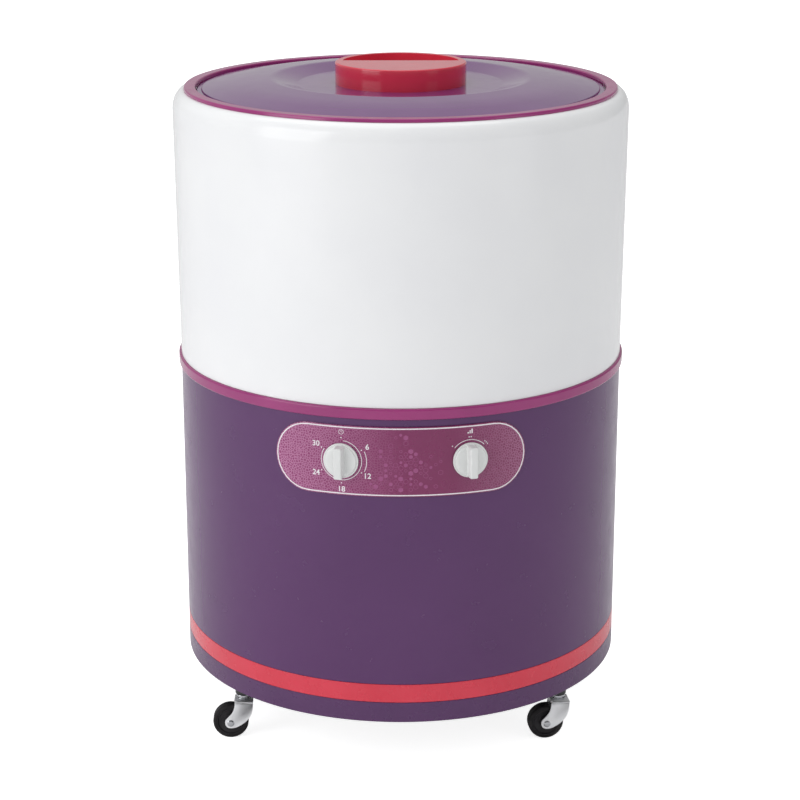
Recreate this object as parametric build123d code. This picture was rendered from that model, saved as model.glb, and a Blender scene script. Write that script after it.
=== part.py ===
from build123d import *

import os
from math import acos, cos, degrees, pi, radians, sin, sqrt, tan

# Round agitator washing machine on four swivel casters.
# Millimetres, +Z up. The origin is on the floor under the machine's axis, and the front faces -Y.

# Body, from the floor up
body_radius = 310.0
floor_clearance = 92.0
skirt_height = 28.5
accent_height = 26.5
cabinet_height = 370.0
band_height = 15.0
shell_height = 367.0

# Clearances shared by the pieces
rest_gap = 0.3
fixed_gap = 0.1
running_gap = 0.06
seam_gap = 0.4
overrun = 6.0
cutter_length = 40.0

# Upper shell, moulded
shell_wall = 3.0
shell_draft = 3.0
shoulder_width = 16.0
shoulder_height = 25.0
shell_lip_width = 10.0
ellipse_share = 0.5523

# Wash tub, moulded, hung on the shell's lip
tub_space = 48.0
tub_wall = 3.0
tub_drop = 97.0
tub_corner = 30.0
lid_ledge_drop = 6.5
ledge_thickness = 2.5
upright_thickness = 2.5
rim_cover = 3.0
flange_thickness = 2.0

# Rim ring over the tub's flange
rim_height = 4.8
rim_width = 16.0
rim_leg = 2.0
rim_leg_depth = 5.0
rim_rounding = 2.0

# Middle band that joins the two shells
band_proud = 3.5
band_tongue = 3.0
band_tongue_low = 8.0
band_tongue_high = 18.0
band_rounding = 2.5

# Lower cabinet, sheet with an inner ledge
cabinet_wall = 2.5
cabinet_ledge_width = 16.5
cabinet_ledge_thickness = 5.0
accent_thickness = 1.2

# Base skirt
skirt_wall = 3.0
skirt_tongue_wall = 3.1
skirt_tongue_height = 19.5
skirt_ledge_drop = 5.5
skirt_ledge_width = 17.0
skirt_ledge_thickness = 3.0

# Chassis, welded channels under a ring plate
chassis_ring_width = 40.5
chassis_plate = 3.0
rail_spacing = 320.0
rail_width = 40.0
rail_depth = 20.0
rail_wall = 3.0
crossbar_spacing = 180.0

# Sheet-metal bolts of cabinet and chassis
small_bolt_radius = 2.5
small_head_across = 8.0
small_head_height = 3.5
small_nut_height = 4.0
small_bolt_tail = 2.0
chassis_bolt_inset = 13.0
chassis_bolt_count = 8
frame_bolt_inset = 12.0
frame_bolt_count = 6

# Casters
caster_inset = 36.35
wheel_radius = 25.0
wheel_width = 18.0
hub_width = 20.0
hub_radius = 9.0
wheel_rounding = 4.0
wheel_dish_depth = 2.5
wheel_dish_outer = 17.5
caster_trail = 18.0
fork_gap = 23.0
fork_plate = 2.0
fork_top = 58.0
fork_front = 14.0
fork_back = 12.0
fork_eye_radius = 7.0
fork_waist_height = 44.0
fork_belly_height = 27.0
fork_belly_reach = 2.0
collar_radius = 10.0
collar_height = 7.5
stem_radius = 5.0
stem_top = 108.0
stem_head_radius = 8.0
stem_head_height = 2.0
axle_radius = 3.0
rivet_radius = 5.0
rivet_height = 2.0
socket_radius = 11.0
socket_plate_side = 40.0
socket_plate_thickness = 3.0
socket_bottom = 67.0

# Control panel and its bracket
panel_height = 95.0
panel_centre_drop = 57.0
panel_half_angle = 31.5
panel_thickness = 2.0
panel_window_inset = 6.0
bracket_thickness = 2.4
bracket_inset = 0.5
boss_radius = 20.0
boss_drop = 10.0
shaft_hole_radius = 5.0
screw_radius = 1.45
screw_boss_radius = 4.0
screw_head_radius = 3.5
screw_head_height = 2.4
screw_tail = 3.6
screw_angle = 24.0
screw_height = 36.0
timer_azimuth = -14.3
force_azimuth = 16.7

# Timer and force switch behind the panel
timer_radius = 26.0
timer_depth = 28.0
switch_side = 34.0
switch_depth = 22.0
switch_rounding = 3.0
tab_width = 6.0
tab_thickness = 0.8
tab_length = 3.5
tab_spacing = 9.0
dial_shaft_radius = 3.0
dial_shaft_bore_depth = 14.0
dial_shaft_nose = 26.0

# Knobs of timer and switch
dial_radius = 23.5
dial_lip_height = 3.2
dial_stand_off = 0.6
dial_crown_radius = 21.0
dial_crown_height = 5.4
grip_width = 13.0
grip_height = 19.0
grip_length = 43.0
grip_rounding = 3.0
dial_edge_rounding = 1.0

# Lid and its knob
lid_play = 4.2
lid_wall = 3.0
lid_edge_height = 5.4
lid_step_width = 6.0
lid_step_height = 2.7
lid_shoulder_rise = 8.4
lid_shoulder_share = 0.81
lid_crest_rise = 12.4
lid_crest_share = 0.6344
lid_dish_share = 0.5054
lid_dish_depth = 8.8
lid_crown_rounding = 380.0
lid_crest_rounding = 28.0
lid_dish_rounding = 12.0
lid_knob_share = 0.6383
lid_knob_height = 29.5
lid_knob_wall = 3.0
lid_knob_rounding = 2.4
pocket_rim = 10.0
pocket_depth = 19.0
pocket_start = 6.0
lid_screw_radius = 2.0
lid_screw_length = 9.0
lid_screw_head_radius = 4.0
lid_screw_head_height = 2.4
lid_boss_radius = 5.5
lid_boss_x_share = 0.5
lid_boss_y_share = 0.4222

# Agitator
agitator_radius = 162.0
agitator_clearance = 6.0
agitator_rim_height = 8.0
agitator_slope_rise = 12.0
agitator_wall = 4.0
column_radius = 42.0
column_top_rise = 315.0
hub_outer_radius = 16.0
hub_lift = 32.0
hub_height = 48.0
hub_web = 6.0
fin_count = 4
fin_thickness = 9.0
fin_tip_margin = 5.0
fin_tip_rise = 14.0
fin_top_margin = 28.0
fin_bow_radius = 84.0
fin_bow_rise = 118.0
fin_rounding = 3.0
cap_rise = 16.0
cap_edge = 5.0
cap_plug_depth = 13.0
cap_plug_wall = 3.0
agitator_bolt_radius = 4.0
agitator_bolt_head = 13.0
agitator_bolt_head_height = 5.5
agitator_bolt_length = 26.0

# Gearbox, planetary
gear_module = 2.0
sun_teeth = 12
planet_teeth = 18
ring_teeth = 48
planet_count = 3
pressure_angle = 20.0
addendum_share = 0.8
dedendum_share = 1.15
gear_backlash = 0.34
gear_width = 18.0
ring_outer_radius = 60.0
ring_margin = 2.0
gearbox_drop = 11.0
gearbox_flange_radius = 88.0
gearbox_flange_thickness = 8.0
gearbox_cup_radius = 68.0
gearbox_depth = 64.0
gearbox_floor_thickness = 8.0
gearbox_step_height = 8.0
gearbox_step_radius = 56.0
gearbox_foot_length = 20.0
gearbox_foot_radius = 17.0
bush_lip = 3.0
neck_radius = 22.0
neck_height = 29.0
seal_radius = 15.0
seal_height = 6.0
output_shaft_radius = 9.0
output_bush_radius = 13.0
output_bush_height = 24.0
input_shaft_radius = 7.0
input_bush_radius = 11.0
input_bush_height = 22.0
carrier_radius = 42.0
carrier_thickness = 8.0
carrier_gap = 4.0
planet_pin_radius = 4.0
planet_pin_head_radius = 6.0
planet_pin_head_height = 2.6
planet_pin_play = 0.4
collar_flange_radius = 14.0
collar_flange_height = 4.0
neck_nut_across = 60.0
neck_nut_height = 10.0

# Drive bolts of gearbox and motor
bolt_radius = 3.0
bolt_head_across = 10.0
bolt_head_height = 4.0
bolt_nut_height = 5.0
gearbox_bolt_count = 6
gearbox_bolt_circle = 79.0
bolt_engagement = 6.0
bolt_tail = 1.5

# Support frame under the tub
frame_plate = 3.0
frame_edge_gap = 1.0
frame_window_radius = 40.0
frame_window_shift = 2.0
frame_window_angles = (110.0, 165.0, 220.0, 275.0, 330.0)

# Belt drive
motor_azimuth = 20.0
motor_distance = 170.0
belt_width = 13.0
belt_inner_width = 8.5
belt_depth = 8.0
belt_pitch_depth = 4.0
groove_floor_gap = 2.0
pulley_width = 18.0
belt_drop = 137.0
drive_pitch_radius = 96.0
motor_pitch_radius = 24.0
drive_rim_radius = 84.0
drive_web = 6.0
drive_hub_radius = 18.0
drive_hub_length = 27.0
drive_hole_radius = 17.0
drive_hole_circle = 51.0
drive_hole_count = 6
thread_radius = 5.0
thread_length = 13.0
shaft_nut_across = 17.0
shaft_nut_height = 10.0

# Motor
motor_radius = 57.0
motor_wall = 3.0
motor_lift = 28.0
motor_height = 85.0
motor_floor = 4.0
end_bell_height = 7.0
motor_hub_radius = 16.0
motor_hub_low = 8.0
motor_hub_high = 8.0
motor_hub_inside = 8.0
motor_shaft_radius = 6.0
motor_bush_radius = 12.0
motor_bush_height = 11.0
motor_bush_lip = 2.0
stator_inner_radius = 34.2
stator_clear = 12.0
stator_height = 54.0
rotor_radius = 33.5
rotor_clear = 4.0
motor_pulley_hub_length = 24.0
motor_pulley_hub_radius = 14.0
motor_shaft_tail = 6.0
mount_side = 118.0
mount_plate = 3.0
mount_corner = 12.0
mount_hole_spacing = 94.0
mount_centre_hole = 20.0
grommet_radius = 10.0

# Capacitor under the frame
capacitor_radius = 20.0
capacitor_height = 70.0
capacitor_inset = 110.0
capacitor_angle = 65.0
clip_thickness = 1.5
clip_width = 12.0
clip_drop = 53.0

# Drain, from the tub's floor to the rear
drain_inset = 59.0
drain_angle = 110.0
drain_bore = 12.0
drain_pipe_radius = 15.0
drain_flange_radius = 30.0
drain_flange_thickness = 4.0
drain_pipe_length = 47.0
hose_wall = 3.2
hose_overlap = 28.0
hose_bend = 45.0
outlet_rise = 25.0
outlet_tail_length = 46.0
outlet_hose_gap = 12.0
outlet_flange_radius = 22.0
outlet_flange_thickness = 3.0
spout_radius = 12.5
spout_bore = 10.0
spout_length = 22.0
clamp_thickness = 1.6
clamp_width = 9.0
clamp_lug = 8.0
clamp_setback = 6.0
strainer_radius = 26.0
strainer_thickness = 3.0
strainer_hole_radius = 3.0
strainer_hole_circles = (8.0, 18.0)
strainer_hole_counts = (5, 11)

# Cord gland at the rear
gland_angle = 75.0
gland_rise = 25.0
gland_bore = 4.5
gland_body_radius = 8.0
gland_flange_radius = 12.0
gland_flange_thickness = 3.0
gland_nose_radius = 8.0
gland_nose_length = 10.0
gland_tail_length = 12.0
gland_nut_across = 22.0
gland_nut_thickness = 5.0

# Levels that follow from the body's heights
skirt_bottom = floor_clearance
accent_bottom = skirt_bottom + skirt_height
cabinet_bottom = accent_bottom + accent_height
band_bottom = cabinet_bottom + cabinet_height
shell_bottom = band_bottom + band_height
shell_top = shell_bottom + shell_height
shoulder_radius = body_radius + shell_draft
rim_radius = shoulder_radius - shoulder_width
rim_top = shell_top + rim_height
rim_inner_radius = rim_radius - rim_width
upright_radius = rim_inner_radius + rim_leg + 2 * fixed_gap
flange_radius = rim_radius - rim_cover
tub_radius = body_radius - tub_space
tub_floor = band_bottom - tub_drop
gearbox_top = tub_floor - gearbox_drop
pulley_level = gearbox_top - belt_drop
motor_bottom = pulley_level + motor_lift
ledge_top = shell_top - lid_ledge_drop
cabinet_inner = body_radius - cabinet_wall
frame_level = gearbox_top - gearbox_flange_thickness
frame_bottom = frame_level - frame_plate
clip_level = frame_bottom - clip_drop
tub_bottom = tub_floor - tub_wall
panel_centre = band_bottom - panel_centre_drop
boss_face = body_radius - boss_drop
outlet_level = cabinet_bottom + outlet_rise
gland_level = cabinet_bottom + gland_rise
drain_circle = tub_radius - drain_inset
frame_window_circle = drain_circle + frame_window_shift
frame_bolt_circle = body_radius - frame_bolt_inset
capacitor_circle = body_radius - capacitor_inset
skirt_ledge_top = accent_bottom - skirt_ledge_drop
joggle_outer = body_radius - accent_thickness - fixed_gap
joggle_inner = joggle_outer - cabinet_wall
skirt_tongue_outer = joggle_inner - rest_gap
skirt_tongue_inner = skirt_tongue_outer - skirt_tongue_wall
chassis_radius = skirt_tongue_inner - rest_gap
chassis_bolt_circle = body_radius - chassis_bolt_inset
caster_circle = body_radius - caster_inset
stem_x = sqrt(caster_circle**2 - (rail_spacing / 2) ** 2)

os.makedirs("parts", exist_ok=True)


def save(shape, node):
    """Write one piece to its own file."""
    export_step(shape, f"parts/{node}.step")


def disc(radius, low, high, x=0, y=0):
    """Upright solid cylinder between two levels."""
    return Pos(x, y, (low + high) / 2) * Cylinder(radius, high - low)


def tube(outer, inner, low, high, x=0, y=0):
    """Upright tube between two levels."""
    return disc(outer, low, high, x, y) - disc(inner, low - overrun, high + overrun, x, y)


def block(x_low, x_high, y_low, y_high, z_low, z_high):
    """Box between two corners."""
    middle = Pos((x_low + x_high) / 2, (y_low + y_high) / 2, (z_low + z_high) / 2)
    return middle * Box(x_high - x_low, y_high - y_low, z_high - z_low)


def turned(points, radii=None):
    """Solid of revolution about Z from (radius, level) points, each with its own rounding."""
    places = [(radius, 0, level) for radius, level in points]
    if radii is None:
        outline = Polyline(*places, close=True)
    else:
        outline = FilletPolyline(*places, radius=radii, close=True)
    return revolve(make_face(outline.edges()), Axis.Z)


def quarter(start, end):
    """Elliptic quarter in the XZ plane, upright at its start and level at its end."""
    (start_radius, start_level), (end_radius, end_level) = start, end
    return Bezier(
        (start_radius, 0, start_level),
        (start_radius, 0, start_level + ellipse_share * (end_level - start_level)),
        (end_radius + ellipse_share * (start_radius - end_radius), 0, end_level),
        (end_radius, 0, end_level),
    )


def hexagon(across, low, high, x=0, y=0):
    """Hexagonal prism by its width across flats."""
    return extrude(Pos(x, y, low) * RegularPolygon(across / 2, 6, major_radius=False), high - low)


def polar(radius, angle):
    """X and Y of a point at a radius and an angle from +X."""
    return radius * cos(radians(angle)), radius * sin(radians(angle))


def facing(azimuth, level):
    """Place whose +Z points outwards at an azimuth from the front and whose +Y points up."""
    turn = radians(azimuth)
    return Plane(
        origin=(0, 0, level), x_dir=(cos(turn), sin(turn), 0), z_dir=(sin(turn), -cos(turn), 0)
    ).location


def ring_of(count, radius, start=0.0):
    """Evenly spaced places round the axis."""
    return [polar(radius, start + 360.0 * index / count) for index in range(count)]


def small_bolt(x, y, seat, grip):
    """Hexagon bolt standing on a seat, with its nut under the grip."""
    bolt = disc(small_bolt_radius, seat - grip - small_nut_height - small_bolt_tail, seat, x, y)
    bolt += hexagon(small_head_across, seat, seat + small_head_height, x, y)
    nut = hexagon(small_head_across, seat - grip - small_nut_height, seat - grip, x, y)
    nut -= disc(small_bolt_radius + fixed_gap, seat - grip - small_nut_height - overrun, seat, x, y)
    return [bolt, nut]


# Upper shell: drafted wall, rounded shoulder and an inward lip
def upper_shell():
    outer_start = (shoulder_radius, shell_top - shoulder_height)
    outer_end = (rim_radius, shell_top)
    inner_start = (shoulder_radius - shell_wall, shell_top - shoulder_height)
    inner_end = (rim_radius, shell_top - shell_wall)
    lip = rim_radius - shell_lip_width
    edges = [
        Line((body_radius, 0, shell_bottom), (outer_start[0], 0, outer_start[1])),
        quarter(outer_start, outer_end),
        Line((outer_end[0], 0, outer_end[1]), (lip, 0, shell_top)),
        Line((lip, 0, shell_top), (lip, 0, shell_top - shell_wall)),
        Line((lip, 0, shell_top - shell_wall), (inner_end[0], 0, inner_end[1])),
        quarter(inner_start, inner_end),
        Line((inner_start[0], 0, inner_start[1]), (body_radius - shell_wall, 0, shell_bottom)),
        Line((body_radius - shell_wall, 0, shell_bottom), (body_radius, 0, shell_bottom)),
    ]
    return revolve(make_face(edges), Axis.Z)


# Wash tub: bowl with a ledge for the lid, an upright and a flange on the shell's lip
def wash_tub():
    outer = tub_radius + tub_wall
    upright_outer = upright_radius + upright_thickness
    points = [
        (neck_radius + rest_gap, tub_bottom),
        (outer, tub_bottom),
        (outer, ledge_top - ledge_thickness),
        (upright_outer, ledge_top - ledge_thickness),
        (upright_outer, shell_top),
        (flange_radius, shell_top),
        (flange_radius, shell_top + flange_thickness),
        (upright_radius, shell_top + flange_thickness),
        (upright_radius, ledge_top),
        (tub_radius, ledge_top),
        (tub_radius, tub_floor),
        (neck_radius + rest_gap, tub_floor),
    ]
    radii = [0, tub_corner + tub_wall, 0, 0, 0, 0, 0, 0, 0, 0, tub_corner, 0]
    drain = polar(drain_circle, drain_angle)
    hole = disc(drain_pipe_radius + rest_gap, tub_bottom - overrun, tub_floor + overrun, *drain)
    return turned(points, radii) - hole


# Rim ring: cap over the tub's flange with an outer and an inner leg
def tub_rim():
    under = shell_top + flange_thickness
    outer_leg = flange_radius + seam_gap
    points = [
        (rim_radius, shell_top),
        (rim_radius, rim_top),
        (rim_inner_radius, rim_top),
        (rim_inner_radius, under - rim_leg_depth),
        (rim_inner_radius + rim_leg, under - rim_leg_depth),
        (rim_inner_radius + rim_leg, under),
        (outer_leg, under),
        (outer_leg, shell_top),
    ]
    return turned(points, [0, rim_rounding, rim_rounding, 0, 0, 0, 0, 0])


# Middle band: proud bead with a tongue into each shell
def middle_band():
    low_outer = cabinet_inner - rest_gap
    high_outer = body_radius - shell_wall - rest_gap
    inner = high_outer - band_tongue
    bead = body_radius + band_proud
    points = [
        (inner, band_bottom - band_tongue_low),
        (low_outer, band_bottom - band_tongue_low),
        (low_outer, band_bottom),
        (bead, band_bottom),
        (bead, shell_bottom),
        (high_outer, shell_bottom),
        (high_outer, shell_bottom + band_tongue_high),
        (inner, shell_bottom + band_tongue_high),
    ]
    return turned(points, [0, 0, 0, band_rounding, band_rounding, 0, 0, 0])


# Stadium patch of the cabinet's curve, from an inner to an outer radius
def panel_patch(inner, outer, half_height):
    half_width = radians(panel_half_angle) * body_radius - (panel_height / 2 - half_height)
    straight = degrees((half_width - half_height) / body_radius)
    reach = outer + overrun
    spread = reach * tan(radians(straight))
    fan = Polyline((0, 0), (-spread, -reach), (spread, -reach), close=True)
    low = panel_centre - half_height
    patch = extrude(Pos(0, 0, low) * make_face(fan.edges()), half_height * 2)
    for side in (-straight, straight):
        bore = Pos(0, 0, reach / 2) * Cylinder(half_height, reach)
        patch += facing(side, panel_centre) * bore
    high = panel_centre + half_height
    return patch & tube(outer, inner, low - overrun, high + overrun)


# Lower cabinet: tube with a joggle for the accent band, and a welded ledge ring for the frame
def lower_cabinet():
    ledge_inner = cabinet_inner - cabinet_ledge_width
    ledge_bottom = frame_bottom - cabinet_ledge_thickness
    points = [
        (joggle_inner, accent_bottom),
        (joggle_outer, accent_bottom),
        (joggle_outer, cabinet_bottom),
        (body_radius, cabinet_bottom),
        (body_radius, band_bottom),
        (cabinet_inner, band_bottom),
        (cabinet_inner, cabinet_bottom + cabinet_wall),
        (joggle_inner, cabinet_bottom),
    ]
    shell = turned(points)
    inset = panel_height / 2 - panel_window_inset
    shell -= panel_patch(cabinet_inner - overrun, body_radius + overrun, inset)
    outlet = Pos(0, 0, body_radius) * Cylinder(drain_pipe_radius + rest_gap, cutter_length)
    shell -= facing(drain_angle + 90.0, outlet_level) * outlet
    gland = Pos(0, 0, body_radius) * Cylinder(gland_body_radius + rest_gap, cutter_length)
    shell -= facing(gland_angle + 90.0, gland_level) * gland
    ledge = tube(cabinet_inner - fixed_gap, ledge_inner, ledge_bottom, frame_bottom)
    for x, y in ring_of(frame_bolt_count, frame_bolt_circle):
        ledge -= disc(small_bolt_radius + fixed_gap, ledge_bottom - overrun, frame_level, x, y)
    return Compound([shell, ledge])


def accent_band():
    outer = body_radius
    inner = body_radius - accent_thickness
    return tube(outer, inner, accent_bottom + seam_gap, cabinet_bottom - seam_gap)


# Base skirt: outer wall, tongue into the cabinet and a ledge for the chassis
def base_skirt():
    inner = body_radius - skirt_wall
    ledge_inner = inner - skirt_ledge_width
    points = [
        (inner, skirt_bottom),
        (body_radius, skirt_bottom),
        (body_radius, accent_bottom),
        (skirt_tongue_outer, accent_bottom),
        (skirt_tongue_outer, accent_bottom + skirt_tongue_height),
        (skirt_tongue_inner, accent_bottom + skirt_tongue_height),
        (skirt_tongue_inner, skirt_ledge_top),
        (ledge_inner, skirt_ledge_top),
        (ledge_inner, skirt_ledge_top - skirt_ledge_thickness),
        (inner, skirt_ledge_top - skirt_ledge_thickness),
    ]
    skirt = turned(points)
    for x, y in ring_of(chassis_bolt_count, chassis_bolt_circle):
        skirt -= disc(small_bolt_radius + fixed_gap, skirt_bottom, accent_bottom, x, y)
    return skirt


# Chassis: ring plate on the skirt's ledge with two rails and two crossbars welded below
def channel(length, low, high):
    """Inverted channel along X."""
    body = Pos(0, 0, (low + high) / 2) * Box(length, rail_width, high - low)
    hollow_height = high - low - rail_wall + overrun
    hollow = Pos(0, 0, high - rail_wall - hollow_height / 2)
    return body - hollow * Box(length + overrun, rail_width - 2 * rail_wall, hollow_height)


def chassis():
    high = skirt_ledge_top
    low = high - rail_depth
    inner = chassis_radius - chassis_ring_width
    frame = tube(chassis_radius, inner, high, high + chassis_plate)
    rails = channel(2 * body_radius, low, high)
    rails = Pos(0, rail_spacing / 2, 0) * rails + Pos(0, -rail_spacing / 2, 0) * rails
    limit = body_radius - skirt_wall - skirt_ledge_width - rest_gap
    frame += rails & disc(limit, low, high)
    bar = Rot(0, 0, 90) * channel(rail_spacing - rail_width + 2 * rail_wall, low, high)
    for side in (-1, 1):
        frame += Pos(side * crossbar_spacing / 2, 0, 0) * bar
    for x, y in ring_of(chassis_bolt_count, chassis_bolt_circle):
        frame -= disc(small_bolt_radius + fixed_gap, high - overrun, high + overrun, x, y)
    return frame


def cabinet_bolts():
    pieces = []
    for x, y in ring_of(chassis_bolt_count, chassis_bolt_circle):
        grip = chassis_plate + skirt_ledge_thickness
        pieces += small_bolt(x, y, skirt_ledge_top + chassis_plate, grip)
    for x, y in ring_of(frame_bolt_count, frame_bolt_circle):
        pieces += small_bolt(x, y, frame_level, frame_plate + cabinet_ledge_thickness)
    return Compound(pieces)


# Casters, each drawn with its stem on the origin and its wheel trailing to -X
def caster_sockets():
    top = skirt_ledge_top - rail_wall
    plate_top = skirt_ledge_top - rail_depth
    side = socket_plate_side / 2
    socket = disc(socket_radius, socket_bottom, top)
    socket += block(-side, side, -side, side, plate_top - socket_plate_thickness, plate_top)
    socket -= disc(stem_radius + running_gap, socket_bottom - overrun, top - rail_wall)
    return Compound([Pos(x, y, 0) * socket for x, y, yaw in caster_places])


def caster_frame():
    """Fork with its raceway collar, stem and axle as three solids."""
    inside = fork_gap / 2
    outside = inside + fork_plate
    under = fork_top - fork_plate
    eye = (-caster_trail, wheel_radius)
    eye_side = (eye[0] - fork_eye_radius, eye[1])
    eye_foot = (eye[0], eye[1] - fork_eye_radius)
    slant = fork_eye_radius * sin(radians(45))
    eye_turn = (eye[0] - slant, eye[1] - slant)
    edges = [
        Line((-fork_back, 0, fork_top), (fork_front, 0, fork_top)),
        ThreePointArc(
            (fork_front, 0, fork_top),
            (fork_belly_reach + fork_eye_radius, 0, (fork_belly_height + fork_waist_height) / 2),
            (-fork_belly_reach - fork_plate, 0, fork_belly_height - fork_eye_radius / 2),
        ),
        Line(
            (-fork_belly_reach - fork_plate, 0, fork_belly_height - fork_eye_radius / 2),
            (eye_foot[0], 0, eye_foot[1]),
        ),
        ThreePointArc(
            (eye_foot[0], 0, eye_foot[1]), (eye_turn[0], 0, eye_turn[1]), (eye_side[0], 0, eye_side[1])
        ),
        Line((eye_side[0], 0, eye_side[1]), (-fork_back, 0, fork_waist_height)),
        Line((-fork_back, 0, fork_waist_height), (-fork_back, 0, fork_top)),
    ]
    cheek = extrude(make_face(edges), fork_plate / 2, both=True)
    fork = Pos(0, inside + fork_plate / 2, 0) * cheek + Pos(0, -inside - fork_plate / 2, 0) * cheek
    fork += block(-fork_back, fork_front, -outside, outside, under, fork_top)
    fork += disc(collar_radius, under, fork_top + collar_height)
    fork -= disc(stem_radius + fixed_gap, under - overrun, stem_top)
    axle_place = Pos(-caster_trail, 0, wheel_radius) * Rot(90, 0, 0)
    fork -= axle_place * Cylinder(axle_radius + fixed_gap, 2 * outside + overrun)
    stem = disc(stem_radius, under, stem_top)
    stem += disc(stem_head_radius, under - stem_head_height, under)
    axle = Cylinder(axle_radius, 2 * outside)
    for side in (-1, 1):
        axle += Pos(0, 0, side * (outside + rivet_height / 2)) * Cylinder(rivet_radius, rivet_height)
    return [fork, stem, axle_place * axle]


def caster_wheel():
    """Solid tyre on a hub, dished on both faces."""
    half = wheel_width / 2
    hub = hub_width / 2
    bore = axle_radius + running_gap
    dish = half - wheel_dish_depth
    side = [
        (bore, hub),
        (hub_radius, hub),
        (hub_radius, dish),
        (wheel_dish_outer, dish),
        (wheel_dish_outer, half),
        (wheel_radius, half),
    ]
    mirrored = [(radius, -level) for radius, level in reversed(side)]
    rounding = [0, 0, 0, 0, 0, wheel_rounding]
    wheel = turned(side + mirrored, rounding + rounding[::-1])
    return Pos(-caster_trail, 0, wheel_radius) * Rot(90, 0, 0) * wheel


caster_places = [
    (-stem_x, -rail_spacing / 2, 2.0),
    (stem_x, -rail_spacing / 2, 8.0),
    (-stem_x, rail_spacing / 2, -14.0),
    (stem_x, rail_spacing / 2, 21.0),
]


# Control panel: overlay with shaft holes and screw bosses on its back
def panel_screw_places():
    return [
        facing(side * screw_angle, panel_centre + rise * screw_height)
        for side in (-1, 1)
        for rise in (-1, 1)
    ]


def shaft_holes(radius):
    hole = Pos(0, 0, body_radius) * Cylinder(radius, cutter_length)
    return facing(timer_azimuth, panel_centre) * hole + facing(force_azimuth, panel_centre) * hole


def control_panel():
    inner = body_radius + fixed_gap
    panel = panel_patch(inner, inner + panel_thickness, panel_height / 2)
    boss_low = cabinet_inner
    boss = Pos(0, 0, (boss_low + inner) / 2 + panel_thickness / 4)
    boss *= Cylinder(screw_boss_radius, inner - boss_low + panel_thickness / 2)
    pilot = Pos(0, 0, boss_low) * Cylinder(screw_radius + fixed_gap, 2 * screw_tail)
    for place in panel_screw_places():
        panel += place * boss
        panel -= place * pilot
    return panel - shaft_holes(shaft_hole_radius)


def panel_bracket():
    outer = cabinet_inner - 2 * fixed_gap
    inner = outer - bracket_thickness
    bracket = panel_patch(inner, outer, panel_height / 2 - bracket_inset)
    depth = inner + bracket_thickness / 2 - boss_face
    boss = Pos(0, 0, boss_face + depth / 2) * Cylinder(boss_radius, depth)
    for azimuth in (timer_azimuth, force_azimuth):
        bracket += facing(azimuth, panel_centre) * boss
    hole = Pos(0, 0, body_radius) * Cylinder(screw_radius + 2 * fixed_gap, cutter_length)
    for place in panel_screw_places():
        bracket -= place * hole
    return bracket - shaft_holes(shaft_hole_radius)


def panel_screws():
    seat = cabinet_inner - 3 * fixed_gap - bracket_thickness
    low = seat - screw_head_height
    high = cabinet_inner + screw_tail - fixed_gap
    screw = disc(screw_radius, low, high) + disc(screw_head_radius, low, seat)
    return Compound([place * screw for place in panel_screw_places()])


def tabs(base, count):
    """Row of flat terminals on the back of a switch."""
    row = []
    for index in range(count):
        x = (index - (count - 1) / 2) * tab_spacing
        tab = Pos(x, 0, base - tab_length / 2) * Box(tab_thickness, tab_width, tab_length)
        row.append(tab)
    return row


def wash_timer():
    low = boss_face - timer_depth
    body = disc(timer_radius, low, boss_face)
    for tab in tabs(low, 4):
        body += tab
    body -= disc(dial_shaft_radius + running_gap, boss_face - dial_shaft_bore_depth, boss_face + overrun)
    return facing(timer_azimuth, panel_centre) * body


def force_switch():
    low = boss_face - switch_depth
    half = switch_side / 2
    body = block(-half, half, -half, half, low, boss_face)
    body = fillet(body.edges().filter_by(Axis.Z), switch_rounding)
    for tab in tabs(low, 3):
        body += tab
    body -= disc(dial_shaft_radius + running_gap, boss_face - dial_shaft_bore_depth, boss_face + overrun)
    return facing(force_azimuth, panel_centre) * body


# Dial knob: lipped disc, raised crown and a grip bar across it, on its shaft
def dial(azimuth):
    back = body_radius + fixed_gap + panel_thickness + dial_stand_off
    top = back + grip_height
    knob = disc(dial_radius, back, back + dial_lip_height)
    knob += disc(dial_crown_radius, back, back + dial_crown_height)
    knob = fillet(knob.edges().group_by(Axis.Z)[-1], dial_edge_rounding)
    half = grip_width / 2
    grip = block(-half, half, -grip_length / 2, grip_length / 2, back, top)
    grip = fillet(grip.edges().filter_by(Axis.Z) + grip.edges().group_by(Axis.Z)[-1], grip_rounding)
    knob += grip
    shaft_end = boss_face + dial_shaft_nose
    knob -= disc(dial_shaft_radius + fixed_gap, back - overrun, shaft_end + fixed_gap)
    start = boss_face - dial_shaft_bore_depth + rest_gap
    shaft = disc(dial_shaft_radius, start, shaft_end)
    place = facing(azimuth, panel_centre)
    return Compound([place * knob, place * shaft])


# Lid: stepped edge, crowned ring and a dish for the knob
lid_radius = upright_radius - lid_play
lid_shoulder_radius = lid_radius * lid_shoulder_share
lid_crest_radius = lid_radius * lid_crest_share
lid_dish_radius = lid_radius * lid_dish_share
lid_knob_radius = lid_dish_radius * lid_knob_share
pocket_radius = lid_knob_radius - pocket_rim
lid_boss_x = lid_knob_radius * lid_boss_x_share
lid_boss_y = lid_knob_radius * lid_boss_y_share
lid_bottom = ledge_top + rest_gap
lid_edge_top = lid_bottom + lid_edge_height
lid_step_top = lid_edge_top + lid_step_height
lid_crest = lid_step_top + lid_crest_rise
dish_floor = lid_crest - lid_dish_depth
knob_top = dish_floor + lid_knob_height
pocket_floor = knob_top - pocket_depth


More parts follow.
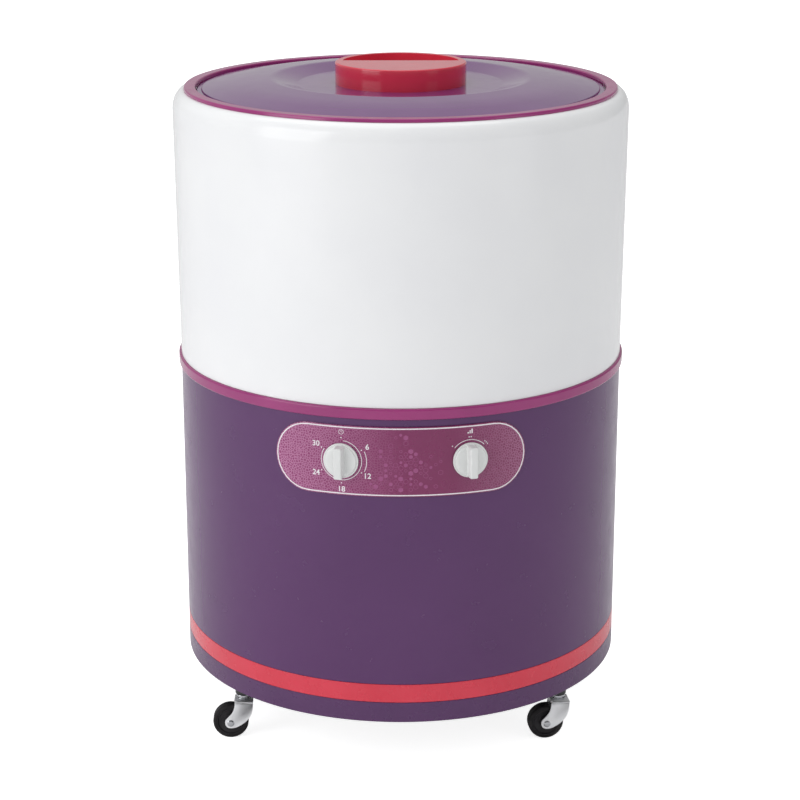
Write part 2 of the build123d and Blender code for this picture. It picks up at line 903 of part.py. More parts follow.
def lid_panel():
    step_radius = lid_radius - lid_step_width
    lean = lid_step_height / 3
    top = [
        (0, dish_floor),
        (lid_dish_radius, dish_floor),
        (lid_crest_radius, lid_crest),
        (lid_shoulder_radius, lid_step_top + lid_shoulder_rise),
        (step_radius - lean, lid_step_top),
        (step_radius, lid_edge_top),
        (lid_radius, lid_edge_top),
        (lid_radius, lid_bottom),
    ]
    under = [
        (lid_radius - lid_wall, lid_bottom),
        (lid_radius - lid_wall, lid_edge_top - lid_wall),
        (step_radius - lean - lid_wall / 2, lid_edge_top - lid_wall),
        (step_radius - lean - lid_wall / 2, lid_step_top - lid_wall),
        (lid_shoulder_radius, lid_step_top + lid_shoulder_rise - lid_wall),
        (lid_crest_radius, lid_crest - lid_wall),
        (lid_dish_radius, dish_floor - lid_wall),
        (0, dish_floor - lid_wall),
    ]
    top_radii = [0, lid_dish_rounding, lid_crest_rounding, lid_crown_rounding]
    top_radii += [lid_wall / 3, lid_wall / 6, lid_wall / 3, 0]
    under_radii = [0, 0, 0, 0, lid_crown_rounding, lid_crest_rounding, lid_dish_rounding, 0]
    lid = turned(top + under, top_radii + under_radii)
    hole = disc(lid_screw_radius + fixed_gap, dish_floor - lid_wall - overrun, dish_floor + overrun)
    for x, y in lid_screw_places():
        lid -= Pos(x, y, 0) * hole
    return lid


def lid_screw_places():
    return [(x, y) for x in (-lid_boss_x, lid_boss_x) for y in (-lid_boss_y, lid_boss_y)]


def half_moon(radius, start, low, high):
    """Rear part of a disc, behind a straight edge."""
    return disc(radius, low, high) & block(-radius, radius, start, radius, low, high)


def lid_knob():
    ceiling = knob_top - lid_knob_wall
    knob = disc(lid_knob_radius, dish_floor, knob_top)
    knob = fillet(knob.edges().group_by(Axis.Z)[-1], lid_knob_rounding)
    knob -= disc(lid_knob_radius - lid_knob_wall, dish_floor - overrun, ceiling)
    tray_radius = pocket_radius + lid_knob_wall
    knob += half_moon(tray_radius, pocket_start - lid_knob_wall, pocket_floor - lid_knob_wall, ceiling)
    knob -= half_moon(pocket_radius, pocket_start, pocket_floor, knob_top + overrun)
    for x, y in lid_screw_places():
        top = ceiling if y < 0 else pocket_floor - lid_knob_wall
        knob += disc(lid_boss_radius, dish_floor, top, x, y)
        screw_top = dish_floor - lid_wall + lid_screw_length + fixed_gap
        knob -= disc(lid_screw_radius + fixed_gap, dish_floor - overrun, screw_top, x, y)
    return knob


def lid_knob_screws():
    seat = dish_floor - lid_wall
    screws = []
    for x, y in lid_screw_places():
        screw = disc(lid_screw_radius, seat - lid_screw_head_height, seat + lid_screw_length, x, y)
        screw += disc(lid_screw_head_radius, seat - lid_screw_head_height, seat, x, y)
        screws.append(screw)
    return Compound(screws)


# Agitator: sloping base disc, hollow column, hub on the shaft and four fins
agitator_bottom = tub_floor + agitator_clearance
agitator_shelf = agitator_bottom + agitator_rim_height
agitator_crest = agitator_shelf + agitator_slope_rise
column_top = tub_floor + column_top_rise
hub_bottom = tub_floor + hub_lift
hub_top = hub_bottom + hub_height


def agitator():
    column_inner = column_radius - agitator_wall
    rim_inner = agitator_radius - agitator_wall
    points = [
        (column_inner, agitator_crest - agitator_wall),
        (rim_inner, agitator_shelf - agitator_wall),
        (rim_inner, agitator_bottom),
        (agitator_radius, agitator_bottom),
        (agitator_radius, agitator_shelf),
        (column_radius, agitator_crest),
        (column_radius, column_top),
        (column_inner, column_top),
    ]
    radii = [0, 0, 0, 0, fin_rounding, 2 * fin_rounding, 0, 0]
    body = turned(points, radii)
    body += disc(column_inner + agitator_wall / 2, hub_top, hub_top + hub_web)
    body += disc(hub_outer_radius, hub_bottom, hub_top + hub_web)
    body -= disc(output_shaft_radius + fixed_gap, hub_bottom - overrun, hub_top)
    body -= disc(agitator_bolt_radius + fixed_gap, hub_top - overrun, hub_top + hub_web + overrun)
    tip = agitator_radius - fin_tip_margin
    foot = column_radius - agitator_wall / 2
    fin_low = agitator_shelf
    fin_high = column_top - fin_top_margin
    edges = [
        Line((foot, 0, fin_low), (tip, 0, fin_low)),
        Line((tip, 0, fin_low), (tip, 0, fin_low + fin_tip_rise)),
        ThreePointArc(
            (tip, 0, fin_low + fin_tip_rise),
            (fin_bow_radius, 0, fin_low + fin_bow_rise),
            (column_radius + fin_rounding, 0, fin_high),
        ),
        Line((column_radius + fin_rounding, 0, fin_high), (foot, 0, fin_high)),
        Line((foot, 0, fin_high), (foot, 0, fin_low)),
    ]
    fin = extrude(make_face(edges), fin_thickness / 2, both=True)
    for index in range(fin_count):
        body += Rot(0, 0, 360.0 * index / fin_count) * fin
    return body


def agitator_cap():
    plug = column_radius - agitator_wall - rest_gap
    plug_foot = column_top - cap_plug_depth
    edges = [
        Line((0, 0, column_top), (plug - cap_plug_wall, 0, column_top)),
        Line((plug - cap_plug_wall, 0, column_top), (plug - cap_plug_wall, 0, plug_foot)),
        Line((plug - cap_plug_wall, 0, plug_foot), (plug, 0, plug_foot)),
        Line((plug, 0, plug_foot), (plug, 0, column_top)),
        Line((plug, 0, column_top), (column_radius, 0, column_top)),
        Line((column_radius, 0, column_top), (column_radius, 0, column_top + cap_edge)),
        quarter((column_radius, column_top + cap_edge), (0, column_top + cap_rise)),
        Line((0, 0, column_top + cap_rise), (0, 0, column_top)),
    ]
    return revolve(make_face(edges), Axis.Z)


def agitator_bolt():
    seat = hub_top + hub_web
    bolt = disc(agitator_bolt_radius, seat - agitator_bolt_length, seat)
    return bolt + hexagon(agitator_bolt_head, seat, seat + agitator_bolt_head_height)


# Planetary gearbox: levels of its pieces
gearbox_floor = gearbox_top - gearbox_depth
cup_bottom = gearbox_floor + gearbox_floor_thickness
gear_seat = cup_bottom + gearbox_step_height
gear_low = gear_seat + ring_margin
gear_high = gear_low + gear_width
carrier_low = gear_high + carrier_gap
carrier_high = carrier_low + carrier_thickness
foot_bottom = gearbox_floor - gearbox_foot_length
cover_top = gearbox_top + gearbox_flange_thickness
neck_top = cover_top + neck_height
planet_circle = gear_module * (sun_teeth + planet_teeth) / 2


def involute(angle):
    """Involute function of a pressure angle in radians."""
    return tan(angle) - angle


def gear_outline(teeth, tip, root, half_space, phase):
    """Closed outline of involute teeth; half_space adds to or takes from half a tooth, in radians."""
    pitch = gear_module * teeth / 2
    base = pitch * cos(radians(pressure_angle))
    half_tooth = pi / (2 * teeth) + half_space / pitch
    steps = 5
    points = []
    for tooth in range(teeth):
        middle = phase + 2 * pi * tooth / teeth
        start = max(base, min(root, tip))
        flank = []
        for step in range(steps):
            radius = start + (max(tip, root) - start) * step / (steps - 1)
            swing = involute(radians(pressure_angle)) - involute(acos(min(1.0, base / radius)))
            flank.append((radius, half_tooth + swing))
        if min(root, tip) < base:
            flank.insert(0, (min(root, tip), flank[0][1]))
        for radius, swing in flank:
            points.append((radius * cos(middle - swing), radius * sin(middle - swing)))
        for radius, swing in reversed(flank):
            points.append((radius * cos(middle + swing), radius * sin(middle + swing)))
    return make_face(Polyline(*points, close=True).edges())


def outer_gear(teeth, phase=0.0):
    """Face of an external gear with a tooth at the phase angle."""
    pitch = gear_module * teeth / 2
    tip = pitch + addendum_share * gear_module
    root = pitch - dedendum_share * gear_module
    return gear_outline(teeth, tip, root, -gear_backlash / 4, phase)


def ring_gear():
    """Internal gear: its spaces are the outline of a gear with swollen teeth."""
    pitch = gear_module * ring_teeth / 2
    tip = pitch + dedendum_share * gear_module
    root = pitch - addendum_share * gear_module
    spaces = gear_outline(ring_teeth, tip, root, gear_backlash / 4, pi / ring_teeth)
    low = gear_seat
    high = gear_high + ring_margin
    cutter = extrude(Pos(0, 0, low - overrun) * spaces, high - low + 2 * overrun)
    return disc(ring_outer_radius, low, high) - cutter


def gearbox_holes(low, high):
    radius = bolt_radius + fixed_gap
    return [disc(radius, low, high, x, y) for x, y in ring_of(gearbox_bolt_count, gearbox_bolt_circle)]


def gearbox_housing():
    foot_bore = input_shaft_radius + rest_gap
    bush_bore = input_bush_radius + fixed_gap
    ring_bore = ring_outer_radius + fixed_gap
    points = [
        (foot_bore, foot_bottom),
        (gearbox_foot_radius, foot_bottom),
        (gearbox_foot_radius, gearbox_floor),
        (gearbox_cup_radius, gearbox_floor),
        (gearbox_cup_radius, frame_level),
        (gearbox_flange_radius, frame_level),
        (gearbox_flange_radius, gearbox_top),
        (ring_bore, gearbox_top),
        (ring_bore, gear_seat),
        (gearbox_step_radius, gear_seat),
        (gearbox_step_radius, cup_bottom),
        (bush_bore, cup_bottom),
        (bush_bore, foot_bottom + bush_lip),
        (foot_bore, foot_bottom + bush_lip),
    ]
    housing = turned(points)
    for hole in gearbox_holes(frame_level - overrun, gearbox_top + overrun):
        housing -= hole
    return housing


def gearbox_cover():
    shaft_bore = output_shaft_radius + rest_gap
    bush_bore = output_bush_radius + fixed_gap
    seal_bore = seal_radius + fixed_gap
    points = [
        (shaft_bore, gearbox_top),
        (gearbox_flange_radius, gearbox_top),
        (gearbox_flange_radius, cover_top),
        (neck_radius, cover_top),
        (neck_radius, neck_top),
        (seal_bore, neck_top),
        (seal_bore, neck_top - seal_height),
        (bush_bore, neck_top - seal_height),
        (bush_bore, gearbox_top + bush_lip),
        (shaft_bore, gearbox_top + bush_lip),
    ]
    cover = turned(points)
    for hole in gearbox_holes(gearbox_top - overrun, gearbox_top + bolt_engagement + fixed_gap):
        cover -= hole
    return cover


def neck_nut():
    nut = hexagon(neck_nut_across, tub_floor, tub_floor + neck_nut_height)
    return nut - disc(neck_radius + fixed_gap, tub_floor - overrun, tub_floor + neck_nut_height + overrun)


def shaft_seal():
    return tube(seal_radius, output_shaft_radius + running_gap, neck_top - seal_height, neck_top)


def output_shaft():
    shaft = disc(output_shaft_radius, carrier_low, hub_top - rest_gap)
    shaft += disc(collar_flange_radius, carrier_high, carrier_high + collar_flange_height)
    bolt_end = hub_top + hub_web - agitator_bolt_length - fixed_gap
    return shaft - disc(agitator_bolt_radius + fixed_gap, bolt_end, hub_top + overrun)


def planet_carrier():
    plate = disc(carrier_radius, carrier_low, carrier_high)
    plate -= disc(output_shaft_radius + fixed_gap, carrier_low - overrun, carrier_high + overrun)
    pins = []
    for x, y in ring_of(planet_count, planet_circle):
        plate -= disc(planet_pin_radius + fixed_gap, carrier_low - overrun, carrier_high + overrun, x, y)
        head_top = gear_low - planet_pin_play
        pin = disc(planet_pin_radius, head_top - planet_pin_head_height, carrier_high, x, y)
        pin += disc(planet_pin_head_radius, head_top - planet_pin_head_height, head_top, x, y)
        pins.append(pin)
    return Compound([plate] + pins)


def planet_gear(x, y, angle):
    face = outer_gear(planet_teeth, radians(angle) + pi / planet_teeth)
    gear = extrude(Pos(0, 0, gear_low) * face, gear_width)
    gear -= disc(planet_pin_radius + running_gap, gear_low - overrun, gear_high + overrun)
    return Pos(x, y, 0) * gear


def sun_shaft():
    """Input shaft with the sun gear at its top and a thread and nut at its foot."""
    hub_low = pulley_level - pulley_width / 2
    shaft = disc(input_shaft_radius, hub_low, gear_low)
    shaft += extrude(Pos(0, 0, gear_low) * outer_gear(sun_teeth), gear_width)
    shaft += disc(thread_radius, hub_low - thread_length, hub_low)
    nut = hexagon(shaft_nut_across, hub_low - shaft_nut_height, hub_low)
    nut -= disc(thread_radius + fixed_gap, hub_low - shaft_nut_height - overrun, hub_low + overrun)
    return Compound([shaft, nut])


def shaft_bushes():
    """Plain bushes of gearbox and motor."""
    output_low = gearbox_top + bush_lip
    input_low = foot_bottom + bush_lip
    x, y = polar(motor_distance, motor_azimuth)
    lower = motor_bottom - motor_hub_low + motor_bush_lip
    upper = motor_top - motor_bush_lip
    output_bore = output_shaft_radius + running_gap
    input_bore = input_shaft_radius + running_gap
    motor_bore = motor_shaft_radius + running_gap
    return Compound([
        tube(output_bush_radius, output_bore, output_low, output_low + output_bush_height),
        tube(input_bush_radius, input_bore, input_low, input_low + input_bush_height),
        tube(motor_bush_radius, motor_bore, lower, lower + motor_bush_height, x, y),
        tube(motor_bush_radius, motor_bore, upper - motor_bush_height, upper, x, y),
    ])


# Support frame: windowed plate on the cabinet's ledge, under the gearbox flange
def motor_bolt_places():
    half = mount_hole_spacing / 2
    turn = radians(motor_azimuth)
    places = []
    for along in (motor_distance - half, motor_distance + half):
        for across in (-half, half):
            x = along * cos(turn) - across * sin(turn)
            y = along * sin(turn) + across * cos(turn)
            places.append((x, y))
    return places


def support_frame():
    outer = cabinet_inner - frame_edge_gap
    plate = tube(outer, gearbox_cup_radius + rest_gap, frame_bottom, frame_level)
    for angle in frame_window_angles:
        x, y = polar(frame_window_circle, angle)
        plate -= disc(frame_window_radius, frame_bottom - overrun, frame_level + overrun, x, y)
    for x, y in ring_of(frame_bolt_count, frame_bolt_circle):
        plate -= disc(small_bolt_radius + fixed_gap, frame_bottom - overrun, frame_level + overrun, x, y)
    for x, y in motor_bolt_places() + ring_of(gearbox_bolt_count, gearbox_bolt_circle):
        plate -= disc(bolt_radius + fixed_gap, frame_bottom - overrun, frame_level + overrun, x, y)
    return plate


def drive_bolts():
    pieces = []
    for x, y in ring_of(gearbox_bolt_count, gearbox_bolt_circle):
        bolt = disc(bolt_radius, frame_bottom, gearbox_top + bolt_engagement, x, y)
        pieces.append(bolt + hexagon(bolt_head_across, frame_bottom - bolt_head_height, frame_bottom, x, y))
    nut_top = frame_level + bolt_nut_height
    for x, y in motor_bolt_places():
        bolt = disc(bolt_radius, motor_top, nut_top + bolt_tail, x, y)
        pieces.append(bolt + hexagon(bolt_head_across, motor_top - bolt_head_height, motor_top, x, y))
        nut = hexagon(bolt_head_across, frame_level, nut_top, x, y)
        pieces.append(nut - disc(bolt_radius + fixed_gap, frame_level - overrun, nut_top + overrun, x, y))
    return Compound(pieces)


# Motor, hung from the frame on rubber grommets
motor_top = motor_bottom + motor_height


def motor_place():
    x, y = polar(motor_distance, motor_azimuth)
    return Pos(x, y, 0) * Rot(0, 0, motor_azimuth)


def motor_housing():
    inner = motor_radius - motor_wall
    bell_low = motor_top - end_bell_height
    hub_low = motor_bottom - motor_hub_low
    hub_inside = motor_bottom + motor_hub_inside
    bore = motor_bush_radius + fixed_gap
    shaft_bore = motor_shaft_radius + rest_gap
    cup = turned([
        (shaft_bore, hub_low),
        (motor_hub_radius, hub_low),
        (motor_hub_radius, motor_bottom),
        (motor_radius, motor_bottom),
        (motor_radius, bell_low),
        (inner, bell_low),
        (inner, motor_bottom + motor_floor),
        (motor_hub_radius, motor_bottom + motor_floor),
        (motor_hub_radius, hub_inside),
        (bore, hub_inside),
        (bore, hub_low + motor_bush_lip),
        (shaft_bore, hub_low + motor_bush_lip),
    ], [0, 0, 0, motor_wall, 0, 0, 0, 0, 0, 0, 0, 0])
    bell = turned([
        (0, motor_top - motor_bush_lip),
        (bore, motor_top - motor_bush_lip),
        (bore, bell_low - motor_hub_high),
        (motor_hub_radius, bell_low - motor_hub_high),
        (motor_hub_radius, bell_low),
        (motor_radius, bell_low),
        (motor_radius, motor_top),
        (0, motor_top),
    ], [0, 0, 0, 0, 0, 0, motor_wall, 0])
    return Compound([motor_place() * cup, motor_place() * bell])


def motor_stator():
    low = motor_bottom + stator_clear
    outer = motor_radius - motor_wall - fixed_gap
    return motor_place() * tube(outer, stator_inner_radius, low, low + stator_height)


def motor_rotor():
    low = motor_bottom + stator_clear + rotor_clear
    rotor = disc(rotor_radius, low, low + stator_height - 2 * rotor_clear)
    foot = pulley_level - pulley_width / 2 - motor_shaft_tail
    rotor += disc(motor_shaft_radius, foot, motor_top - motor_bush_lip - rest_gap)
    return motor_place() * rotor


def motor_mount():
    plate = Pos(0, 0, motor_top) * RectangleRounded(mount_side, mount_side, mount_corner)
    plate = extrude(plate, mount_plate)
    plate -= disc(mount_centre_hole, motor_top - overrun, motor_top + mount_plate + overrun)
    plate = motor_place() * plate
    for x, y in motor_bolt_places():
        plate -= disc(bolt_radius + fixed_gap, motor_top - overrun, frame_bottom, x, y)
    return plate


def motor_grommets():
    low = motor_top + mount_plate
    inner = bolt_radius + fixed_gap
    return Compound([tube(grommet_radius, inner, low, frame_bottom, x, y) for x, y in motor_bolt_places()])


# Belt drive: grooved pulleys and a trapezoid belt round both
def belt_groove(outer):
    """Ring cut out of a pulley, the belt's section with its clearance."""
    spread = (belt_width - belt_inner_width) / 2 / belt_depth
    top_half = belt_width / 2 + rest_gap + spread * overrun
    floor = outer - belt_depth - groove_floor_gap
    floor_half = belt_inner_width / 2 + rest_gap
    return turned([
        (floor, pulley_level - floor_half),
        (outer - belt_depth, pulley_level - floor_half),
        (outer + overrun, pulley_level - top_half),
        (outer + overrun, pulley_level + top_half),
        (outer - belt_depth, pulley_level + floor_half),
        (floor, pulley_level + floor_half),
    ])


def drive_pulley():
    outer = drive_pitch_radius + belt_pitch_depth
    low = pulley_level - pulley_width / 2
    pulley = tube(outer, drive_rim_radius, low, low + pulley_width)
    pulley += disc(drive_rim_radius + fixed_gap, pulley_level - drive_web / 2, pulley_level + drive_web / 2)
    pulley += disc(drive_hub_radius, low, low + drive_hub_length)
    pulley -= disc(input_shaft_radius + fixed_gap, low - overrun, low + drive_hub_length + overrun)
    for x, y in ring_of(drive_hole_count, drive_hole_circle):
        pulley -= disc(drive_hole_radius, low, low + pulley_width, x, y)
    return pulley - belt_groove(outer)


def motor_pulley():
    outer = motor_pitch_radius + belt_pitch_depth
    low = pulley_level - pulley_width / 2
    pulley = disc(outer, low, low + pulley_width)
    pulley += disc(motor_pulley_hub_radius, low, low + motor_pulley_hub_length)
    pulley -= disc(motor_shaft_radius + fixed_gap, low - overrun, low + motor_pulley_hub_length + overrun)
    return motor_place() * (pulley - belt_groove(outer))


def belt_section(place):
    """Trapezoid with its wide side outwards along the place's X."""
    half = belt_width / 2
    inner_half = belt_inner_width / 2
    corners = [(0, -half), (0, half), (-belt_depth, inner_half), (-belt_depth, -inner_half)]
    return place * make_face(Polyline(*corners, close=True).edges())


def drive_belt():
    big = drive_pitch_radius + belt_pitch_depth
    small = motor_pitch_radius + belt_pitch_depth
    lean = acos((big - small) / motor_distance)
    straight = sqrt(motor_distance**2 - (big - small) ** 2)
    pieces = []
    for side in (-1, 1):
        across = (cos(lean), side * sin(lean), 0)
        along = (sin(lean), -side * cos(lean), 0)
        start = Plane(origin=(big * across[0], big * across[1], pulley_level), x_dir=across, z_dir=along)
        pieces.append(extrude(belt_section(start.location), straight))
    sweep_big = 360.0 - 2 * degrees(lean)
    first = Plane(
        origin=(big * cos(lean), big * sin(lean), pulley_level),
        x_dir=(cos(lean), sin(lean), 0),
        z_dir=(-sin(lean), cos(lean), 0),
    )
    pieces.append(revolve(belt_section(first.location), Axis.Z, revolution_arc=sweep_big))
    second = Plane(
        origin=(motor_distance + small * cos(lean), -small * sin(lean), pulley_level),
        x_dir=(cos(lean), -sin(lean), 0),
        z_dir=(sin(lean), cos(lean), 0),
    )
    motor_axis = Axis((motor_distance, 0, 0), (0, 0, 1))
    turn = 2 * degrees(lean)
    pieces.append(revolve(belt_section(second.location), motor_axis, revolution_arc=turn))
    belt = pieces[0] + pieces[1] + pieces[2] + pieces[3]
    return Rot(0, 0, motor_azimuth) * belt


# Run capacitor under the frame, in its clip
def capacitor():
    x, y = polar(capacitor_circle, capacitor_angle)
    low = frame_bottom - capacitor_height
    can = disc(capacitor_radius, low, frame_bottom, x, y)
    can = fillet(can.edges().group_by(Axis.Z)[0], clip_thickness)
    inner = capacitor_radius + fixed_gap
    clip = tube(inner + clip_thickness, inner, clip_level, clip_level + clip_width)
    strap = block(inner, inner + clip_thickness, -clip_width / 2, clip_width / 2, clip_level, frame_bottom)
    clip += strap
    foot = inner + clip_width
    clip += block(inner, foot, -clip_width / 2, clip_width / 2, frame_bottom - clip_thickness, frame_bottom)
    return Compound([can, Pos(x, y, 0) * Rot(0, 0, capacitor_angle) * clip])


# Drain: strainer, fitting under the tub, hose to the rear and its outlet
def drain_strainer():
    x, y = polar(drain_circle, drain_angle)
    top = tub_floor + strainer_thickness
    plate = disc(strainer_radius, tub_floor, top)
    plate = fillet(plate.edges().group_by(Axis.Z)[-1], strainer_thickness / 2)
    for circle, count in zip(strainer_hole_circles, strainer_hole_counts):
        for hole_x, hole_y in ring_of(count, circle):
            plate -= disc(strainer_hole_radius, tub_floor - overrun, top + overrun, hole_x, hole_y)
    return Pos(x, y, 0) * plate


def drain_fitting():
    x, y = polar(drain_circle, drain_angle)
    low = tub_bottom - drain_pipe_length
    fitting = disc(drain_pipe_radius, low, tub_floor, x, y)
    fitting += disc(drain_flange_radius, tub_bottom - drain_flange_thickness, tub_bottom, x, y)
    return fitting - disc(drain_bore, low - overrun, tub_floor + overrun, x, y)


hose_bore = drain_pipe_radius + fixed_gap
hose_radius = hose_bore + hose_wall
hose_top = tub_bottom - drain_pipe_length + hose_overlap
hose_end = cabinet_inner - outlet_hose_gap


def drain_hose():
    """Hose down from the fitting and outwards to the outlet's tail, in one radial plane."""
    x, y = polar(drain_circle, drain_angle)
    end_x, end_y = polar(hose_end, drain_angle)
    route = FilletPolyline(
        (x, y, hose_top), (x, y, outlet_level), (end_x, end_y, outlet_level), radius=hose_bend
    )
    start = Plane(origin=(x, y, hose_top), z_dir=(0, 0, -1))
    section = start.location * (Circle(hose_radius) - Circle(hose_bore))
    return sweep(section, path=route.wire())


def hose_clamps():
    x, y = polar(drain_circle, drain_angle)
    inner = hose_radius + fixed_gap
    outer = inner + clamp_thickness
    band = tube(outer, inner, 0, clamp_width)
    lug = block(inner, outer + clamp_lug, -clamp_lug / 2, clamp_lug / 2, 0, clamp_width)
    clamp = band + lug
    upper = Pos(x, y, hose_top - clamp_setback - clamp_width) * clamp
    lower = Pos(0, 0, hose_end - clamp_setback - clamp_width) * clamp
    return Compound([upper, facing(drain_angle + 90.0, outlet_level) * lower])


def drain_outlet():
    seat = body_radius + fixed_gap
    tail = disc(drain_pipe_radius, cabinet_inner - outlet_tail_length, seat + fixed_gap)
    flange = disc(outlet_flange_radius, seat, seat + outlet_flange_thickness)
    spout_end = seat + outlet_flange_thickness + spout_length
    outlet = tail + flange + disc(spout_radius, seat, spout_end)
    bore = disc(spout_bore, cabinet_inner - outlet_tail_length - overrun, spout_end + overrun)
    return facing(drain_angle + 90.0, outlet_level) * (outlet - bore)


def cord_gland():
    seat = body_radius + fixed_gap
    low = cabinet_inner - gland_tail_length
    high = seat + gland_flange_thickness + gland_nose_length
    gland = disc(gland_body_radius, low, seat + fixed_gap)
    gland += disc(gland_flange_radius, seat, seat + gland_flange_thickness)
    gland += disc(gland_nose_radius, seat, high)
    gland = fillet(gland.edges().group_by(Axis.Z)[-1], gland_flange_thickness / 2)
    gland -= disc(gland_bore, low - overrun, high + overrun)
    nut_high = cabinet_inner - rest_gap
    nut = hexagon(gland_nut_across, nut_high - gland_nut_thickness, nut_high)
    nut -= disc(gland_body_radius + fixed_gap, nut_high - gland_nut_thickness - overrun, nut_high + overrun)
    place = facing(gland_angle + 90.0, gland_level)
    return Compound([place * gland, place * nut])


for build in (
    upper_shell, wash_tub, tub_rim, middle_band, lower_cabinet, accent_band, base_skirt, chassis,
    cabinet_bolts, caster_sockets, control_panel, panel_bracket, panel_screws, wash_timer,
    force_switch, lid_panel, lid_knob, lid_knob_screws, agitator, agitator_cap, agitator_bolt,
    gearbox_housing, gearbox_cover, ring_gear, neck_nut, shaft_seal, output_shaft, planet_carrier,
    sun_shaft, shaft_bushes, support_frame, drive_bolts, motor_housing, motor_stator, motor_rotor,
    motor_mount, motor_grommets, drive_pulley, motor_pulley, drive_belt, capacitor, drain_strainer,
    drain_fitting, drain_hose, hose_clamps, drain_outlet, cord_gland,
):
    save(build(), build.__name__)

save(dial(timer_azimuth), "timer_knob")
save(dial(force_azimuth), "force_knob")

for number, (x, y) in enumerate(ring_of(planet_count, planet_circle)):
    save(planet_gear(x, y, 360.0 * number / planet_count), f"planet_gear_{number + 1}")

for number, (x, y, yaw) in enumerate(caster_places):
    place = Pos(x, y, 0) * Rot(0, 0, yaw)
    save(Compound([place * piece for piece in caster_frame()]), f"caster_fork_{number + 1}")
    save(place * caster_wheel(), f"caster_wheel_{number + 1}")
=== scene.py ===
from math import ceil, cos, degrees, pi, radians, sin, tan
from random import Random

import bmesh
import bpy
from mathutils import Matrix, Vector


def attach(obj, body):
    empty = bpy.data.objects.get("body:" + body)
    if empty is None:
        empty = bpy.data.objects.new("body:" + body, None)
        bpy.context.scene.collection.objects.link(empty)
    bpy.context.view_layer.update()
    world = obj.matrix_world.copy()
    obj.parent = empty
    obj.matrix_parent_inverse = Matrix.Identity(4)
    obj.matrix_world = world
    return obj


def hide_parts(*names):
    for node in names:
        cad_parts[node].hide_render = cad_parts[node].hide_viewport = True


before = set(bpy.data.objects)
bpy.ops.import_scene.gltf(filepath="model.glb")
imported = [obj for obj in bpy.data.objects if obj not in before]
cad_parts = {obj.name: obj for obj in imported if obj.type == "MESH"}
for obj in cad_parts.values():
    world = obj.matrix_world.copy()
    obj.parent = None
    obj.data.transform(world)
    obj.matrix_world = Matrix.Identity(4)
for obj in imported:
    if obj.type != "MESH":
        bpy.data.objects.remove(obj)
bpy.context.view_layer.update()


# Camera. The machine is seen from the front and from above, at about three
# metres, with a long lens. The camera is tilted down at the machine, and a
# small shift sets it in the middle of the frame.
camera_distance = 2.894
camera_height = 1.343
camera_side = -0.001
camera_tilt = 16.1
camera_lens = 95.1
camera_drop = -0.05


def shown(name, data):
    """New object in the scene, for a camera, a lamp or a mesh."""
    made = bpy.data.objects.new(name, data)
    bpy.context.scene.collection.objects.link(made)
    return made


camera = shown("camera", bpy.data.cameras.new("camera"))
camera.data.lens = camera_lens
camera.data.sensor_width = 36.0
camera.data.shift_y = camera_drop
camera.data.clip_end = 60.0
camera.location = (camera_side, -camera_distance, camera_height)
camera.rotation_euler = (radians(90.0 - camera_tilt), 0, 0)
bpy.context.scene.camera = camera


# Studio floor. A wide matt sheet of white paper under the machine. It is lit
# to plain white for the camera and keeps the soft shadow under the skirt.
floor_size = 40.0
floor_shade = (0.92, 0.92, 0.93, 1)
floor_glow = 0.8
floor_patches = 0.985


def new_finish(name, **sockets):
    """Material whose shader's own sockets are set, with blanks in their names as low lines."""
    finish = bpy.data.materials.new(name)
    finish.use_nodes = True
    shader = finish.node_tree.nodes["Principled BSDF"]
    for socket, value in sockets.items():
        shader.inputs[socket.replace("_", " ")].default_value = value
    return finish, finish.node_tree, shader


def add(tree, kind, sockets=None, **settings):
    """Node of a material; values go to its settings, sockets to its inputs."""
    made = tree.nodes.new("ShaderNode" + kind)
    for name, value in settings.items():
        setattr(made, name, value)
    for socket, value in (sockets or {}).items():
        if isinstance(value, bpy.types.NodeSocket):
            tree.links.new(value, made.inputs[socket])
        else:
            made.inputs[socket].default_value = value
    return made


def noise(tree, scale, detail):
    """Noise of that many patches a metre, fixed to the piece."""
    place = add(tree, "TexCoord").outputs["Object"]
    made = add(tree, "TexNoise", {"Vector": place, "Scale": scale, "Detail": detail})
    return made.outputs["Fac"]


def cloudy(tree, deep, pale, scale, detail=3.0, low=0.3, high=0.7):
    """Colour that drifts between two shades over a noise of that many patches a metre."""
    ramp = add(tree, "ValToRGB", {"Fac": noise(tree, scale, detail)})
    for stop, place, colour in zip(ramp.color_ramp.elements, (low, high), (deep, pale)):
        stop.position, stop.color = place, colour
    return ramp.outputs["Color"]


floor_mesh = bmesh.new()
bmesh.ops.create_grid(floor_mesh, x_segments=8, y_segments=8, size=floor_size / 2)
floor_data = bpy.data.meshes.new("studio_floor")
floor_mesh.to_mesh(floor_data)
floor_mesh.free()
floor = shown("studio_floor", floor_data)
paper, paper_tree, paper_shader = new_finish(
    "studio_paper", Roughness=0.9, Specular_IOR_Level=0.1
)
paper_dim = [part * floor_patches for part in floor_shade[:3]] + [1]
paper_shade = cloudy(paper_tree, paper_dim, floor_shade, 3.0, 3.0, 0.0, 1.0)
paper_tree.links.new(paper_shade, paper_shader.inputs["Base Color"])
paper_surface = paper_shader.outputs["BSDF"]
paper_rays = add(paper_tree, "LightPath").outputs["Is Camera Ray"]
paper_glow = add(paper_tree, "Emission", {"Color": (1, 1, 1, 1), "Strength": floor_glow})
paper_sum = add(paper_tree, "AddShader", {0: paper_surface, 1: paper_glow.outputs["Emission"]})
paper_mix = add(
    paper_tree,
    "MixShader",
    {"Fac": paper_rays, 1: paper_surface, 2: paper_sum.outputs["Shader"]},
)
paper_output = paper_tree.nodes["Material Output"]
paper_tree.links.new(paper_mix.outputs["Shader"], paper_output.inputs["Surface"])
floor_data.materials.append(paper)


